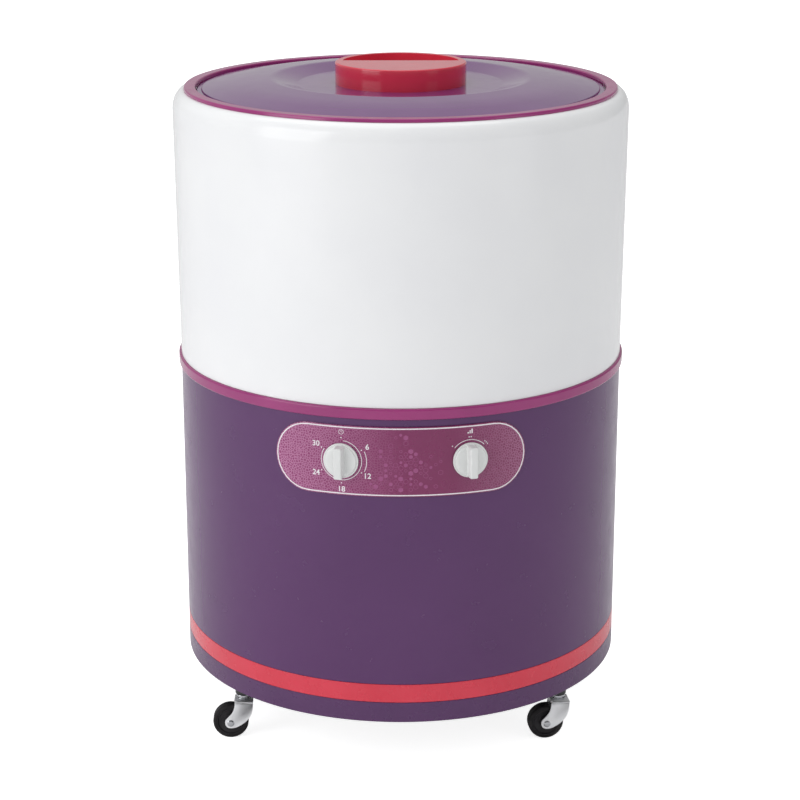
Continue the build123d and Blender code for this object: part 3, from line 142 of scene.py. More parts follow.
# Studio light. One tall soft box stands at the front left, a weaker one at the
# right and a broad one overhead. The room around is white for the camera and
# in reflections, and lights the machine softly from all sides.
room_light = 0.68
room_mirror = 0.5
right_mirror_share = 0.35
front_mirror_share = 0.5
lamps = [
    ("key_box", 48.0, (2.4, 3.0), (-3.1, -2.3, 1.6), (0, 0, 0.55)),
    ("fill_box", 4.5, (1.2, 2.4), (2.9, -1.9, 1.2), (0, 0, 0.5)),
    ("top_box", 26.0, (2.6, 2.6), (-0.3, 0.3, 3.2), (0, 0, 0.9)),
]


def ranged(tree, value, low, high, start=0.0, end=1.0):
    """Value from low to high, spread over start to end and held there beyond."""
    ends = {"From Min": low, "From Max": high, "To Min": start, "To Max": end}
    return add(tree, "MapRange", {"Value": value} | ends).outputs["Result"]


def combined(tree, way, first, second):
    """Two values brought into one, by that way of the Math node."""
    return add(tree, "Math", {0: first, 1: second}, operation=way).outputs[0]


world = bpy.data.worlds.new("studio_room")
bpy.context.scene.world = world
world.use_nodes = True
room = world.node_tree
room_ground = room.nodes["Background"]
room_ground.inputs["Color"].default_value = (1, 1, 1, 1)
room_rays = add(room, "LightPath").outputs
room_gloss = combined(
    room, "MAXIMUM", room_rays["Is Glossy Ray"], room_rays["Is Transmission Ray"]
)
room_shine = ranged(room, room_gloss, 0.0, 1.0, room_light, room_mirror)
room_side = add(room, "SeparateXYZ", {"Vector": add(room, "TexCoord").outputs["Generated"]})
room_right = ranged(room, room_side.outputs["X"], 0.0, 0.9, 1.0, right_mirror_share)
room_front = ranged(room, room_side.outputs["Y"], 0.0, -0.8, 1.0, front_mirror_share)
room_shade = combined(room, "MULTIPLY", room_right, room_front)
room_dim = combined(room, "MULTIPLY", room_shine, room_shade)
room_seen = add(room, "Mix", {0: room_gloss, 2: room_shine, 3: room_dim}, data_type="FLOAT")
room_level = combined(room, "MAXIMUM", room_seen.outputs[0], room_rays["Is Camera Ray"])
room.links.new(room_level, room_ground.inputs["Strength"])
bpy.context.scene.view_settings.view_transform = "Standard"

for lamp_name, power, (wide, tall), place, aim in lamps:
    lamp_data = bpy.data.lights.new(lamp_name, "AREA")
    lamp_data.shape = "RECTANGLE"
    lamp_data.size, lamp_data.size_y = wide, tall
    lamp_data.energy = power
    lamp = shown(lamp_name, lamp_data)
    lamp.location = place
    lamp.rotation_euler = (Vector(aim) - Vector(place)).to_track_quat("-Z", "Y").to_euler()


# Upper shell. A deep-drawn sheet drum, slightly wider towards the top, with a
# rolled shoulder and a lip that carries the tub. It is enamelled white inside
# and out and drops over the middle band.
shell_low = 532.0
shell_radius = 310.0
shell_wide = 313.0
shell_wall = 3.0
shoulder_low = 874.0
shoulder_top = 899.0
shoulder_inner = 297.0
shell_lip = 287.0
round_steps = 180
thousandth = 0.001


def tone(red, green, blue):
    """Shader colour of a shade that shows as red, green and blue from 0 to 255."""
    parts = [value / 255 for value in (red, green, blue)]
    return [p / 12.92 if p <= 0.04045 else ((p + 0.055) / 1.055) ** 2.4 for p in parts] + [1]


def rounded(bm, parts, width, steps=4, setting="OFFSET", kind="EDGES"):
    """Rounds the given edges or corners and gives the new faces."""
    return bmesh.ops.bevel(
        bm,
        geom=parts,
        offset=width,
        offset_type=setting,
        affect=kind,
        segments=steps,
        profile=0.5,
        material=-1,
        clamp_overlap=kind == "EDGES",
    )["faces"]


def outline(*corners, closed=True):
    """Chain of edges through (radius, level, rounding) corners in the XZ plane.

    A rounding of "arc" takes the whole of both runs beside it."""
    bm = bmesh.new()
    chain = [bm.verts.new((corner[0], 0, corner[1])) for corner in corners]
    ends = chain[1:] + chain[:1] if closed else chain[1:]
    for first, second in zip(chain, ends):
        bm.edges.new((first, second))
    spots = [Vector((corner[0], corner[1])) for corner in corners]
    for index, corner in enumerate(corners):
        if len(corner) < 3:
            continue
        setting, slide, steps = "PERCENT", 100.0, 10
        if corner[2] != "arc":
            before = spots[index - 1] - spots[index]
            after = spots[(index + 1) % len(spots)] - spots[index]
            turn = pi - before.angle(after)
            setting, slide = "OFFSET", corner[2] * tan(turn / 2)
            steps = max(3, ceil(degrees(turn) / 12))
        rounded(bm, [chain[index]], slide, steps, setting, "VERTICES")
    bmesh.ops.remove_doubles(bm, verts=bm.verts, dist=0.0001)
    return bm


def facing_out(bm):
    """Turns every face of a piece outwards."""
    bmesh.ops.recalc_face_normals(bm, faces=bm.faces)


def turned(*corners, closed=True, steps=round_steps):
    """Outline spun about the upright axis, as on a lathe."""
    bm = outline(*corners, closed=closed)
    bmesh.ops.spin(
        bm,
        geom=bm.verts[:] + bm.edges[:],
        cent=(0, 0, 0),
        axis=(0, 0, 1),
        dvec=(0, 0, 0),
        angle=2 * pi,
        steps=steps,
        use_merge=True,
        use_duplicate=False,
    )
    bmesh.ops.remove_doubles(bm, verts=bm.verts, dist=0.0001)
    facing_out(bm)
    return bm


def settle(bm, name, finishes, body, slot, *nodes, crease=34.0):
    """Ends a piece: to metres, smooth with sharp corners, finished, and riding on its body."""
    bmesh.ops.scale(bm, vec=(thousandth,) * 3, verts=bm.verts)
    data = bpy.data.meshes.new(name)
    bm.to_mesh(data)
    bm.free()
    data.shade_smooth()
    data.set_sharp_from_angle(angle=radians(crease))
    piece = shown(name, data)
    for finish in finishes if isinstance(finishes, list) else [finishes]:
        data.materials.append(finish)
    even = piece.modifiers.new("even_shading", "WEIGHTED_NORMAL")
    even.keep_sharp = True
    even.weight = 100
    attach(piece, body)
    if nodes:
        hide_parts(*nodes)
    return piece


def worn_edges(tree, width, share=1.0):
    """Share of rubbed finish: nothing on flats, most along corners, broken up by a fine noise.

    Gives that share and the softened corner's direction."""
    corner = add(tree, "Bevel", {"Radius": width * thousandth}, samples=8).outputs["Normal"]
    flat = add(tree, "NewGeometry").outputs["Normal"]
    bend = add(tree, "VectorMath", {0: corner, 1: flat}, operation="DOT_PRODUCT")
    rub = ranged(tree, bend.outputs["Value"], 0.985, 0.82, 0.0, share)
    broken = ranged(tree, noise(tree, 760.0, 5.0), 0.35, 0.6)
    return combined(tree, "MULTIPLY", rub, broken), corner


def blended(tree, share, first, second):
    """Colour between first and second, by share."""
    mix = add(tree, "Mix", {0: share, 6: first, 7: second}, data_type="RGBA")
    return mix.outputs[2]


def skinned(tree, shader, shade, low, high, smears, grain, depth, normal=None):
    """Colour, gloss from low to high in smears, and a fine relief of that depth in mm."""
    tree.links.new(shade, shader.inputs["Base Color"])
    gloss = ranged(tree, noise(tree, smears, 5.0), 0.3, 0.7, low, high)
    tree.links.new(gloss, shader.inputs["Roughness"])
    relief = {"Height": noise(tree, grain, 4.0), "Strength": 0.6, "Distance": depth * thousandth}
    if normal:
        relief["Normal"] = normal
    bump = add(tree, "Bump", relief)
    tree.links.new(bump.outputs["Normal"], shader.inputs["Normal"])


def enamelled(name, deep, pale, bare, low=0.16, high=0.24, coat=0.25):
    """Stoved enamel on sheet: even colour, faint orange peel, rubbed thin along corners."""
    finish, tree, shader = new_finish(name, Coat_Weight=coat, Coat_Roughness=0.08)
    worn, corner = worn_edges(tree, 0.6, 0.35)
    shade = blended(tree, worn, cloudy(tree, deep, pale, 7.0), bare)
    skinned(tree, shader, shade, low, high, smears=34.0, grain=210.0, depth=0.006, normal=corner)
    return finish


shell_white = enamelled(
    "shell_white_enamel", tone(234, 235, 237), tone(238, 239, 240), tone(200, 200, 202)
)
upper_shell = turned(
    (shell_radius, shell_low, 0.8),
    (shell_wide, shoulder_low),
    (shell_wide, shoulder_top, "arc"),
    (shoulder_inner, shoulder_top),
    (shell_lip, shoulder_top),
    (shell_lip, shoulder_top - shell_wall),
    (shoulder_inner, shoulder_top - shell_wall),
    (shell_wide - shell_wall, shoulder_top - shell_wall, "arc"),
    (shell_wide - shell_wall, shoulder_low),
    (shell_radius - shell_wall, shell_low, 0.8),
)
settle(upper_shell, "upper_shell_drum", shell_white, "root", "white_shell", "upper_shell")


# Rim ring. A moulded magenta trim with a rounded face, pressed down over the
# tub's flange. Its outer foot stands on the shell's lip, its inner leg hooks
# behind the flange.
rim_inner = 281.0
rim_top = 903.8
rim_face_rounding = 2.3
rim_leg_low = 896.0
rim_leg = 2.0
rim_under = 901.0
rim_foot_inner = 294.4


def moulded(name, deep, pale, rubbed, low=0.26, high=0.36, depth=0.02, grain=900.0, coat=0.0):
    """Injection-moulded plastic: faint flow marks, a fine texture and paler, rubbed corners."""
    finish, tree, shader = new_finish(name, Coat_Weight=coat, Coat_Roughness=0.1)
    worn, corner = worn_edges(tree, 0.5, 0.3)
    shade = blended(tree, worn, cloudy(tree, deep, pale, 16.0, 2.0), rubbed)
    skinned(tree, shader, shade, low, high, smears=60.0, grain=grain, depth=depth, normal=corner)
    return finish


magenta_plastic = moulded(
    "magenta_plastic",
    tone(146, 40, 108), tone(154, 46, 114), tone(176, 84, 144),
    low=0.16, high=0.24, depth=0.005, grain=380.0, coat=0.3,
)
tub_rim = turned(
    (shoulder_inner, shoulder_top, 0.3),
    (shoulder_inner, rim_top, rim_face_rounding),
    (rim_inner, rim_top, rim_face_rounding),
    (rim_inner, rim_leg_low, 0.4),
    (rim_inner + rim_leg, rim_leg_low, 0.4),
    (rim_inner + rim_leg, rim_under),
    (rim_foot_inner, rim_under),
    (rim_foot_inner, shoulder_top),
)
settle(tub_rim, "rim_ring", magenta_plastic, "root", "magenta_plastic", "tub_rim")


# Lid. A vacuum-formed purple cover that lies loose on the tub's ledge: a low
# stepped edge, a broad crowned ring and a round dish in the middle for the
# knob. Its glossy skin shows the studio.
lid_low = 892.8
lid_radius = 279.0
lid_edge = 898.2
lid_step_radius = 273.0
lid_step_top = 900.9
lid_lean = 0.9
lid_shoulder = (226.0, 909.3)
lid_crest = (177.0, 913.3)
lid_dish = (141.0, 904.5)
lid_wall = 3.0
lid_crown_rounding = 380.0
lid_crest_rounding = 28.0
lid_dish_rounding = 12.0

lid_plastic = moulded(
    "lid_plastic",
    tone(104, 52, 114), tone(110, 58, 120), tone(150, 112, 156),
    low=0.13, high=0.2, depth=0.006, grain=420.0, coat=0.5,
)
lid_face = [
    (0, lid_dish[1]),
    (*lid_dish, lid_dish_rounding),
    (*lid_crest, lid_crest_rounding),
    (*lid_shoulder, lid_crown_rounding),
]
lid_under = [(corner[0], corner[1] - lid_wall, *corner[2:]) for corner in reversed(lid_face)]
lid_panel = turned(
    *lid_face,
    (lid_step_radius - lid_lean, lid_step_top, 1.0),
    (lid_step_radius, lid_edge, 0.5),
    (lid_radius, lid_edge, 1.0),
    (lid_radius, lid_low, 0.4),
    (lid_radius - lid_wall, lid_low, 0.4),
    (lid_radius - lid_wall, lid_edge - lid_wall),
    (lid_step_radius - lid_lean - lid_wall / 2, lid_edge - lid_wall),
    (lid_step_radius - lid_lean - lid_wall / 2, lid_step_top - lid_wall),
    *lid_under,
    closed=False,
)
settle(lid_panel, "lid_cover", lid_plastic, "lid", "lid_plastic", "lid_panel")


# Lid knob. A glossy coral moulding like a shallow drum, with a half-moon
# pocket behind a straight edge for the fingers. It is hollow below and four
# screws hold it from under the lid.
knob_radius = 90.0
knob_low = 904.5
knob_top = 934.0
knob_wall = 3.0
knob_rounding = 2.4
pocket_radius = 80.0
pocket_edge = 6.0
pocket_depth = 19.0
pocket_lip = 0.7
pocket_corner = 2.0

coral_plastic = moulded(
    "coral_plastic",
    tone(202, 48, 70), tone(210, 55, 76), tone(230, 124, 136),
    low=0.12, high=0.2, depth=0.005, grain=380.0, coat=0.4,
)


def verts_in(parts):
    """The vertices among a mixed list of mesh parts."""
    return [part for part in parts if isinstance(part, bmesh.types.BMVert)]


def grown(bm, edges, wider=1.0, rise=0.0):
    """Extrudes edges, then widens the new ones about the axis and lifts them."""
    pulled = bmesh.ops.extrude_edge_only(bm, edges=edges)["geom"]
    bmesh.ops.scale(bm, vec=(wider, wider, 1), verts=verts_in(pulled))
    bmesh.ops.translate(bm, vec=(0, 0, rise), verts=verts_in(pulled))
    return [part for part in pulled if isinstance(part, bmesh.types.BMEdge)]


def lies_at(edge, level):
    """Whether both ends of an edge stand at that level."""
    return all(abs(vert.co.z - level) < 0.01 for vert in edge.verts)


def meets_wall(edge):
    """Whether an edge borders an upright face."""
    return any(abs(face.normal.z) < 0.1 for face in edge.link_faces)


def cut_along(bm, spot, normal):
    """Cuts a mesh along a plane and keeps both sides."""
    parts = bm.verts[:] + bm.edges[:] + bm.faces[:]
    bmesh.ops.bisect_plane(bm, geom=parts, plane_co=spot, plane_no=normal)


lid_knob = bmesh.new()
knob_disc = Matrix.Translation((0, 0, knob_top))
bmesh.ops.create_circle(
    lid_knob, cap_ends=True, segments=round_steps, radius=pocket_radius, matrix=knob_disc
)
cut_along(lid_knob, (0, pocket_edge, 0), (0, 1, 0))
pocket = [face for face in lid_knob.faces if face.calc_center_median().y > pocket_edge]
rim = [edge for edge in lid_knob.edges if edge.is_boundary]
rim = grown(lid_knob, rim, knob_radius / pocket_radius)
grown(lid_knob, rim, 1.0, knob_low - knob_top)
pocket_mouth = list({edge for face in pocket for edge in face.edges})
bmesh.ops.delete(lid_knob, geom=pocket, context="FACES_ONLY")
floor_edges = grown(lid_knob, pocket_mouth, 1.0, -pocket_depth)
bmesh.ops.contextual_create(lid_knob, geom=floor_edges)
facing_out(lid_knob)
rounded(lid_knob, floor_edges, pocket_corner)
lip_edges = [
    edge
    for edge in lid_knob.edges
    if lies_at(edge, knob_top)
    and meets_wall(edge)
    and all(vert.co.xy.length < pocket_radius + 1.0 for vert in edge.verts)
]
rounded(lid_knob, lip_edges, pocket_lip, 3)
top_edges = [
    edge
    for edge in lid_knob.edges
    if lies_at(edge, knob_top)
    and all(vert.co.xy.length > knob_radius - 1.0 for vert in edge.verts)
]
rounded(lid_knob, top_edges, knob_rounding, 5)
knob_piece = settle(lid_knob, "lid_handle", coral_plastic, "lid", "coral_plastic", "lid_knob")
knob_shell = knob_piece.modifiers.new("moulded_wall", "SOLIDIFY")
knob_shell.thickness = knob_wall * thousandth
knob_shell.offset = -1.0
knob_piece.modifiers.move(1, 0)


# Wash tub. A white moulded bowl that hangs from the shell's lip by its flange.
# Its wall has upright ribs that break the swirl, and a ledge near the top
# carries the lid. The floor has openings for the neck nut and the drain.
tub_radius = 262.0
tub_wall = 3.0
tub_floor = 420.0
tub_corner = 30.0
tub_hole = 22.3
tub_ledge = 892.5
tub_ledge_under = 890.0
tub_upright = 283.2
tub_upright_outer = 285.7
tub_flange = 294.0
rib_count = 12
rib_reach = 4.0
rib_width = 12.0
rib_low = 462.0
rib_high = 860.0
rib_rounding = 3.4
drain_circle = 203.0
drain_turn = radians(110.0)
drain_spot = (drain_circle * cos(drain_turn), drain_circle * sin(drain_turn))
drain_hole = 15.3
drill_reach = 20.0


def bored(bm, x, y, radius, low, high):
    """Drills an upright hole through the piece."""
    solid = bpy.data.meshes.new("work")
    bm.to_mesh(solid)
    bm.free()
    drill = bmesh.new()
    bmesh.ops.create_cone(
        drill,
        cap_ends=True,
        segments=48,
        radius1=radius,
        radius2=radius,
        depth=high - low,
        matrix=Matrix.Translation((x, y, (low + high) / 2)),
    )
    bit = bpy.data.meshes.new("bit")
    drill.to_mesh(bit)
    drill.free()
    stock, cutter = shown("work", solid), shown("bit", bit)
    cut = stock.modifiers.new("cut", "BOOLEAN")
    cut.object, cut.operation, cut.solver = cutter, "DIFFERENCE", "EXACT"
    bpy.context.view_layer.update()
    seen = stock.evaluated_get(bpy.context.evaluated_depsgraph_get())
    result = bmesh.new()
    result.from_mesh(seen.to_mesh())
    seen.to_mesh_clear()
    for part in (stock, cutter):
        mesh = part.data
        bpy.data.objects.remove(part)
        bpy.data.meshes.remove(mesh)
    return result


def bar(bm, size, rounding, place):
    """Adds a rounded bar of that size; place turns and moves it."""
    made = bmesh.ops.create_cube(bm, size=1.0)["verts"]
    bmesh.ops.scale(bm, vec=size, verts=made)
    edges = list({edge for vert in made for edge in vert.link_edges})
    faces = rounded(bm, edges, rounding, 3)
    verts = {vert for face in faces for vert in face.verts}
    bmesh.ops.transform(bm, matrix=place, verts=list(verts))
    return list(verts)


wash_tub = turned(
    (tub_hole, tub_floor - tub_wall, 0.5),
    (tub_radius + tub_wall, tub_floor - tub_wall, tub_corner + tub_wall),
    (tub_radius + tub_wall, tub_ledge_under),
    (tub_upright_outer, tub_ledge_under),
    (tub_upright_outer, shoulder_top),
    (tub_flange, shoulder_top),
    (tub_flange, rim_under, 0.6),
    (tub_upright, rim_under, 0.8),
    (tub_upright, tub_ledge, 0.8),
    (tub_radius, tub_ledge, 1.2),
    (tub_radius, tub_floor, tub_corner),
    (tub_hole, tub_floor, 0.5),
)
drill_span = (tub_floor - drill_reach, tub_floor + drill_reach)
wash_tub = bored(wash_tub, *drain_spot, drain_hole, *drill_span)
for index in range(rib_count):
    turn = Matrix.Rotation(2 * pi * (index + 0.5) / rib_count, 4, "Z")
    middle = Matrix.Translation((tub_radius, 0, (rib_low + rib_high) / 2))
    bar(wash_tub, (2 * rib_reach, rib_width, rib_high - rib_low), rib_rounding, turn @ middle)
tub_plastic = moulded(
    "tub_plastic", tone(222, 224, 226), tone(232, 233, 235), tone(244, 244, 245), 0.3, 0.4
)
settle(wash_tub, "wash_bowl", tub_plastic, "root", "tub_plastic", "wash_tub")


# Middle band. A magenta moulded hoop between the two shells. Its bead stands
# proud of both, and a hidden tongue above and below centres them.
band_low = 517.0
band_high = 532.0
band_bead = 313.5
band_low_outer = 307.2
band_high_outer = 306.7
band_inner = 303.7
band_tongue_low = 509.0
band_tongue_high = 550.0
band_rounding = 2.5

middle_band = turned(
    (band_inner, band_tongue_low, 0.5),
    (band_low_outer, band_tongue_low, 0.5),
    (band_low_outer, band_low),
    (band_bead, band_low, band_rounding),
    (band_bead, band_high, band_rounding),
    (band_high_outer, band_high),
    (band_high_outer, band_tongue_high, 0.5),
    (band_inner, band_tongue_high, 0.5),
)
settle(middle_band, "middle_hoop", magenta_plastic, "root", "magenta_plastic", "middle_band")


# Lower cabinet. Purple enamelled sheet rolled to a drum and joggled at the
# bottom for the coral band. A ledge inside carries the support frame, and a
# lock seam runs down the back where the sheet's ends meet.
cabinet_low = 147.0
cabinet_radius = 310.0
cabinet_wall = 2.5
joggle_low = 120.5
joggle_outer = 308.7
cabinet_ledge = 291.0
cabinet_ledge_low = 393.0
cabinet_ledge_high = 398.0
seam_width = 9.0
seam_thick = 1.4
seam_end_gap = 3.0
seam_rise = 0.1
seam_rounding = 0.5

cabinet_purple = enamelled(
    "cabinet_purple_enamel",
    tone(82, 40, 93), tone(86, 44, 97), tone(132, 108, 144),
    low=0.2, high=0.28, coat=0.05,
)
cabinet_inner = cabinet_radius - cabinet_wall
lower_cabinet = turned(
    (joggle_outer - cabinet_wall, joggle_low),
    (joggle_outer, joggle_low),
    (joggle_outer, cabinet_low, 0.6),
    (cabinet_radius, cabinet_low, 0.6),
    (cabinet_radius, band_low, 0.5),
    (cabinet_inner, band_low),
    (cabinet_inner, cabinet_ledge_high),
    (cabinet_ledge, cabinet_ledge_high),
    (cabinet_ledge, cabinet_ledge_low),
    (cabinet_inner, cabinet_ledge_low),
    (cabinet_inner, cabinet_low + cabinet_wall),
    (joggle_outer - cabinet_wall, cabinet_low),
)
seam_size = (seam_width, seam_thick, band_low - cabinet_low - 2 * seam_end_gap)
seam_spot = (0, cabinet_radius + seam_rise, (band_low + cabinet_low) / 2)
bar(lower_cabinet, seam_size, seam_rounding, Matrix.Translation(seam_spot))
settle(
    lower_cabinet, "cabinet_drum", cabinet_purple, "root", "cabinet_paint", "lower_cabinet"
)


# Accent band. A coral strip of coloured sheet wrapped round the joggle, flush
# with the cabinet above and the skirt below, with a hairline gap at each edge.
accent_low = 120.9
accent_high = 146.6
accent_wall = 1.2

coral_strip = moulded(
    "coral_strip",
    tone(210, 44, 66), tone(217, 52, 74), tone(230, 136, 146),
    low=0.2, high=0.3, depth=0.006, grain=420.0, coat=0.25,
)
accent_inner = cabinet_radius - accent_wall
accent_band = turned(
    (accent_inner, accent_low),
    (cabinet_radius, accent_low, 0.5),
    (cabinet_radius, accent_high, 0.5),
    (accent_inner, accent_high),
)
settle(accent_band, "coral_hoop", coral_strip, "root", "coral_band", "accent_band")


# Base skirt. A purple moulded foot ring, its wall flush with the cabinet, with
# a tongue inside the joggle and a ledge that stands on the chassis ring.
skirt_low = 92.0
skirt_high = 120.5
skirt_wall = 3.0
skirt_tongue_outer = 305.9
skirt_tongue_inner = 302.8
skirt_tongue_high = 140.0
skirt_ledge = 290.0
skirt_ledge_high = 115.0
skirt_ledge_low = 112.0

skirt_plastic = moulded(
    "skirt_plastic",
    tone(78, 39, 89), tone(83, 43, 93), tone(128, 104, 140),
    low=0.24, high=0.34, depth=0.006, grain=500.0, coat=0.15,
)
skirt_inner = cabinet_radius - skirt_wall
base_skirt = turned(
    (skirt_inner, skirt_low, 0.8),
    (cabinet_radius, skirt_low, 1.2),
    (cabinet_radius, skirt_high, 0.4),
    (skirt_tongue_outer, skirt_high),
    (skirt_tongue_outer, skirt_tongue_high, 0.5),
    (skirt_tongue_inner, skirt_tongue_high, 0.5),
    (skirt_tongue_inner, skirt_ledge_high),
    (skirt_ledge, skirt_ledge_high),
    (skirt_ledge, skirt_ledge_low),
    (skirt_inner, skirt_ledge_low),
)
settle(base_skirt, "foot_skirt", skirt_plastic, "root", "skirt_plastic", "base_skirt")


# Chassis, sockets and bolts. A ring plate with welded channels under it, black
# stove enamel over steel, carries the four caster sockets. Zinc-plated bolts
# hold skirt, chassis and cabinet together.
def dressed(finish, *nodes):
    """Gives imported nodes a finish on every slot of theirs."""
    for node in nodes:
        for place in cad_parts[node].material_slots:
            place.material = finish


def plated(
    name, deep, pale, low=0.2, high=0.38, spangle=90.0, grain=600.0, depth=0.01, shine=1.0
):
    """Bare or plated metal: cloudy patches, a faint brushed relief and brighter, rubbed corners."""
    finish, tree, shader = new_finish(name, Metallic=shine)
    worn, corner = worn_edges(tree, 0.5, 0.5)
    bright = [min(1.0, part * 1.15) for part in pale[:3]] + [1]
    shade = blended(tree, worn, cloudy(tree, deep, pale, spangle), bright)
    skinned(tree, shader, shade, low, high, smears=130.0, grain=grain, depth=depth, normal=corner)
    return finish


black_enamel = enamelled(
    "black_enamel", tone(30, 30, 33), tone(38, 38, 41), tone(96, 96, 98), 0.3, 0.42
)
zinc_plate = plated("zinc_plate", tone(188, 190, 193), tone(212, 214, 217))
dressed(black_enamel, "chassis", "caster_sockets")
dressed(zinc_plate, "cabinet_bolts")


# Casters. Each fork is one blank of bright plated sheet bent to a U over the
# wheel, with a raceway collar and a stem above. The solid black wheel turns on
# a riveted axle, set back from the stem so that it trails.
caster_trail = 18.0
wheel_radius = 25.0
wheel_half = 9.0
wheel_hub_half = 10.0
wheel_hub = 9.0
wheel_core = 19.6
wheel_rounding = 4.0
wheel_bore = 3.2
fork_sheet = 2.0
fork_mid = 12.5
fork_top = 58.0
fork_bend = 3.0
fork_edge = 0.7
fork_front = 14.0
fork_back = -12.0
fork_cheek = (
    (fork_back - 0.5, 43.0, 22.0),
    (-26.0, 28.5, 5.0),
    (-25.5, 17.2, 7.4),
    (-12.0, 17.4, 14.0),
    (3.5, 25.5, 30.0),
    (12.8, 40.0, 24.0),
)
collar_radius = 10.0
collar_low = 57.6
collar_high = 65.5
collar_waist = 8.6
collar_groove = (
    (collar_radius, 60.4, 0.9),
    (collar_waist, 61.4, 0.5),
    (collar_waist, 62.4, 0.5),
    (collar_radius, 63.0, 0.8),
)
stem_radius = 5.0
stem_top = 108.0
rivet_radius = 5.0
rivet_height = 1.8
rivet_neck = 3.0
caster_turns = (2.0, 8.0, -14.0, 21.0)
rail_half = 160.0
stem_circle = 273.65
stem_side = (stem_circle**2 - rail_half**2) ** 0.5
caster_spots = (
    (-stem_side, -rail_half),
    (stem_side, -rail_half),
    (-stem_side, rail_half),
    (stem_side, rail_half),
)


def flat_face(*corners):
    """Face through (x, z) corners with roundings, upright in the XZ plane."""
    bm = outline(*corners)
    bmesh.ops.contextual_create(bm, geom=bm.edges[:])
    return bm


def rubbery(name, deep, pale, dust, low=0.5, high=0.72, dusty=0.35):
    """Black rubber or matt plastic, with dust caught by its texture."""
    finish, tree, shader = new_finish(name, Specular_IOR_Level=0.35)
    share = ranged(tree, noise(tree, 70.0, 6.0), 0.52, 0.8, 0.0, dusty)
    shade = blended(tree, share, cloudy(tree, deep, pale, 40.0), dust)
    skinned(tree, shader, shade, low, high, smears=160.0, grain=1400.0, depth=0.03)
    return finish


fork_plate = plated(
    "fork_plate", tone(240, 241, 243), tone(247, 248, 250), 0.34, 0.44, 60.0, shine=0.03
)
chrome = plated("polished_chrome", tone(196, 198, 202), tone(214, 216, 220), 0.07, 0.14, 30.0)
tyre_black = rubbery("tyre_black", tone(22, 20, 22), tone(32, 29, 32), tone(92, 88, 86))
core_black = rubbery(
    "core_black", tone(30, 28, 31), tone(40, 37, 41), tone(86, 84, 84), 0.3, 0.45, 0.2
)


def placed(bm, matrix):
    """Turns and moves the whole of a piece."""
    bmesh.ops.transform(bm, matrix=matrix, verts=bm.verts)


def joined(bm, other):
    """Takes the other piece's mesh into this one."""
    carried = bpy.data.meshes.new("carried")
    other.to_mesh(carried)
    other.free()
    bm.from_mesh(carried)
    bpy.data.meshes.remove(carried)


def mirrored(half):
    """Whole outline of a round part from the corners of its upper half."""
    return [(corner[0], -corner[1], *corner[2:]) for corner in reversed(half)] + half


def bent_fork():
    """U-shaped sheet of one caster, still without its thickness."""
    mid_top = fork_top - fork_sheet / 2
    bm = flat_face((fork_back, mid_top), *fork_cheek, (fork_front, mid_top))
    placed(bm, Matrix.Translation((0, -fork_mid, 0)))
    copied = bmesh.ops.duplicate(bm, geom=bm.verts[:] + bm.edges[:] + bm.faces[:])["geom"]
    bmesh.ops.translate(bm, vec=(0, 2 * fork_mid, 0), verts=verts_in(copied))
    bmesh.ops.bridge_loops(bm, edges=[edge for edge in bm.edges if lies_at(edge, mid_top)])
    bends = [
        edge
        for edge in bm.edges
        if len(edge.link_faces) == 2 and abs(edge.verts[0].co.y - edge.verts[1].co.y) < 0.01
    ]
    rounded(bm, bends, fork_bend, 5)
    facing_out(bm)
    return bm


on_axle = Matrix.Translation((-caster_trail, 0, wheel_radius)) @ Matrix.Rotation(pi / 2, 4, "X")


def swivel_parts():
    """Raceway collar and stem, and the riveted axle, of one caster."""
    bm = turned(
        (stem_radius - 0.2, collar_low),
        (collar_radius, collar_low, 0.4),
        *collar_groove,
        (collar_radius, collar_high, 0.9),
        (stem_radius, collar_high, 0.3),
        (stem_radius, stem_top, 0.8),
        (0, stem_top),
        (0, collar_low),
        closed=False,
        steps=64,
    )
    reach = fork_mid + fork_sheet / 2
    half = [
        (rivet_neck, reach - 0.05),
        (rivet_radius, reach - 0.05),
        (rivet_radius, reach + rivet_height * 0.4, 0.8),
        (rivet_radius * 0.6, reach + rivet_height, 2.0),
        (0, reach + rivet_height),
    ]
    axle = turned(*mirrored(half), closed=False, steps=40)
    placed(axle, on_axle)
    joined(bm, axle)
    return bm


def caster_tyre():
    """Wheel with a hub, a dished core and a rounded tread, on its axle."""
    half = [
        (wheel_radius, wheel_half, wheel_rounding),
        (wheel_core + 0.6, wheel_half, 0.5),
        (wheel_core + 0.3, wheel_half - 0.9, 0.2),
        (wheel_core, wheel_half - 0.3, 0.2),
        (wheel_core - 1.2, wheel_half - 0.3, 0.5),
        (wheel_core - 2.4, wheel_half - 2.4, 1.2),
        (wheel_hub + 0.8, wheel_half - 3.0, 1.2),
        (wheel_hub, wheel_hub_half, 0.8),
        (wheel_bore, wheel_hub_half, 0.3),
    ]
    bm = turned(*mirrored(half), steps=96)
    for face in bm.faces:
        face.material_index = 1 if face.calc_center_median().xy.length < wheel_core + 0.2 else 0
    placed(bm, on_axle)
    return bm


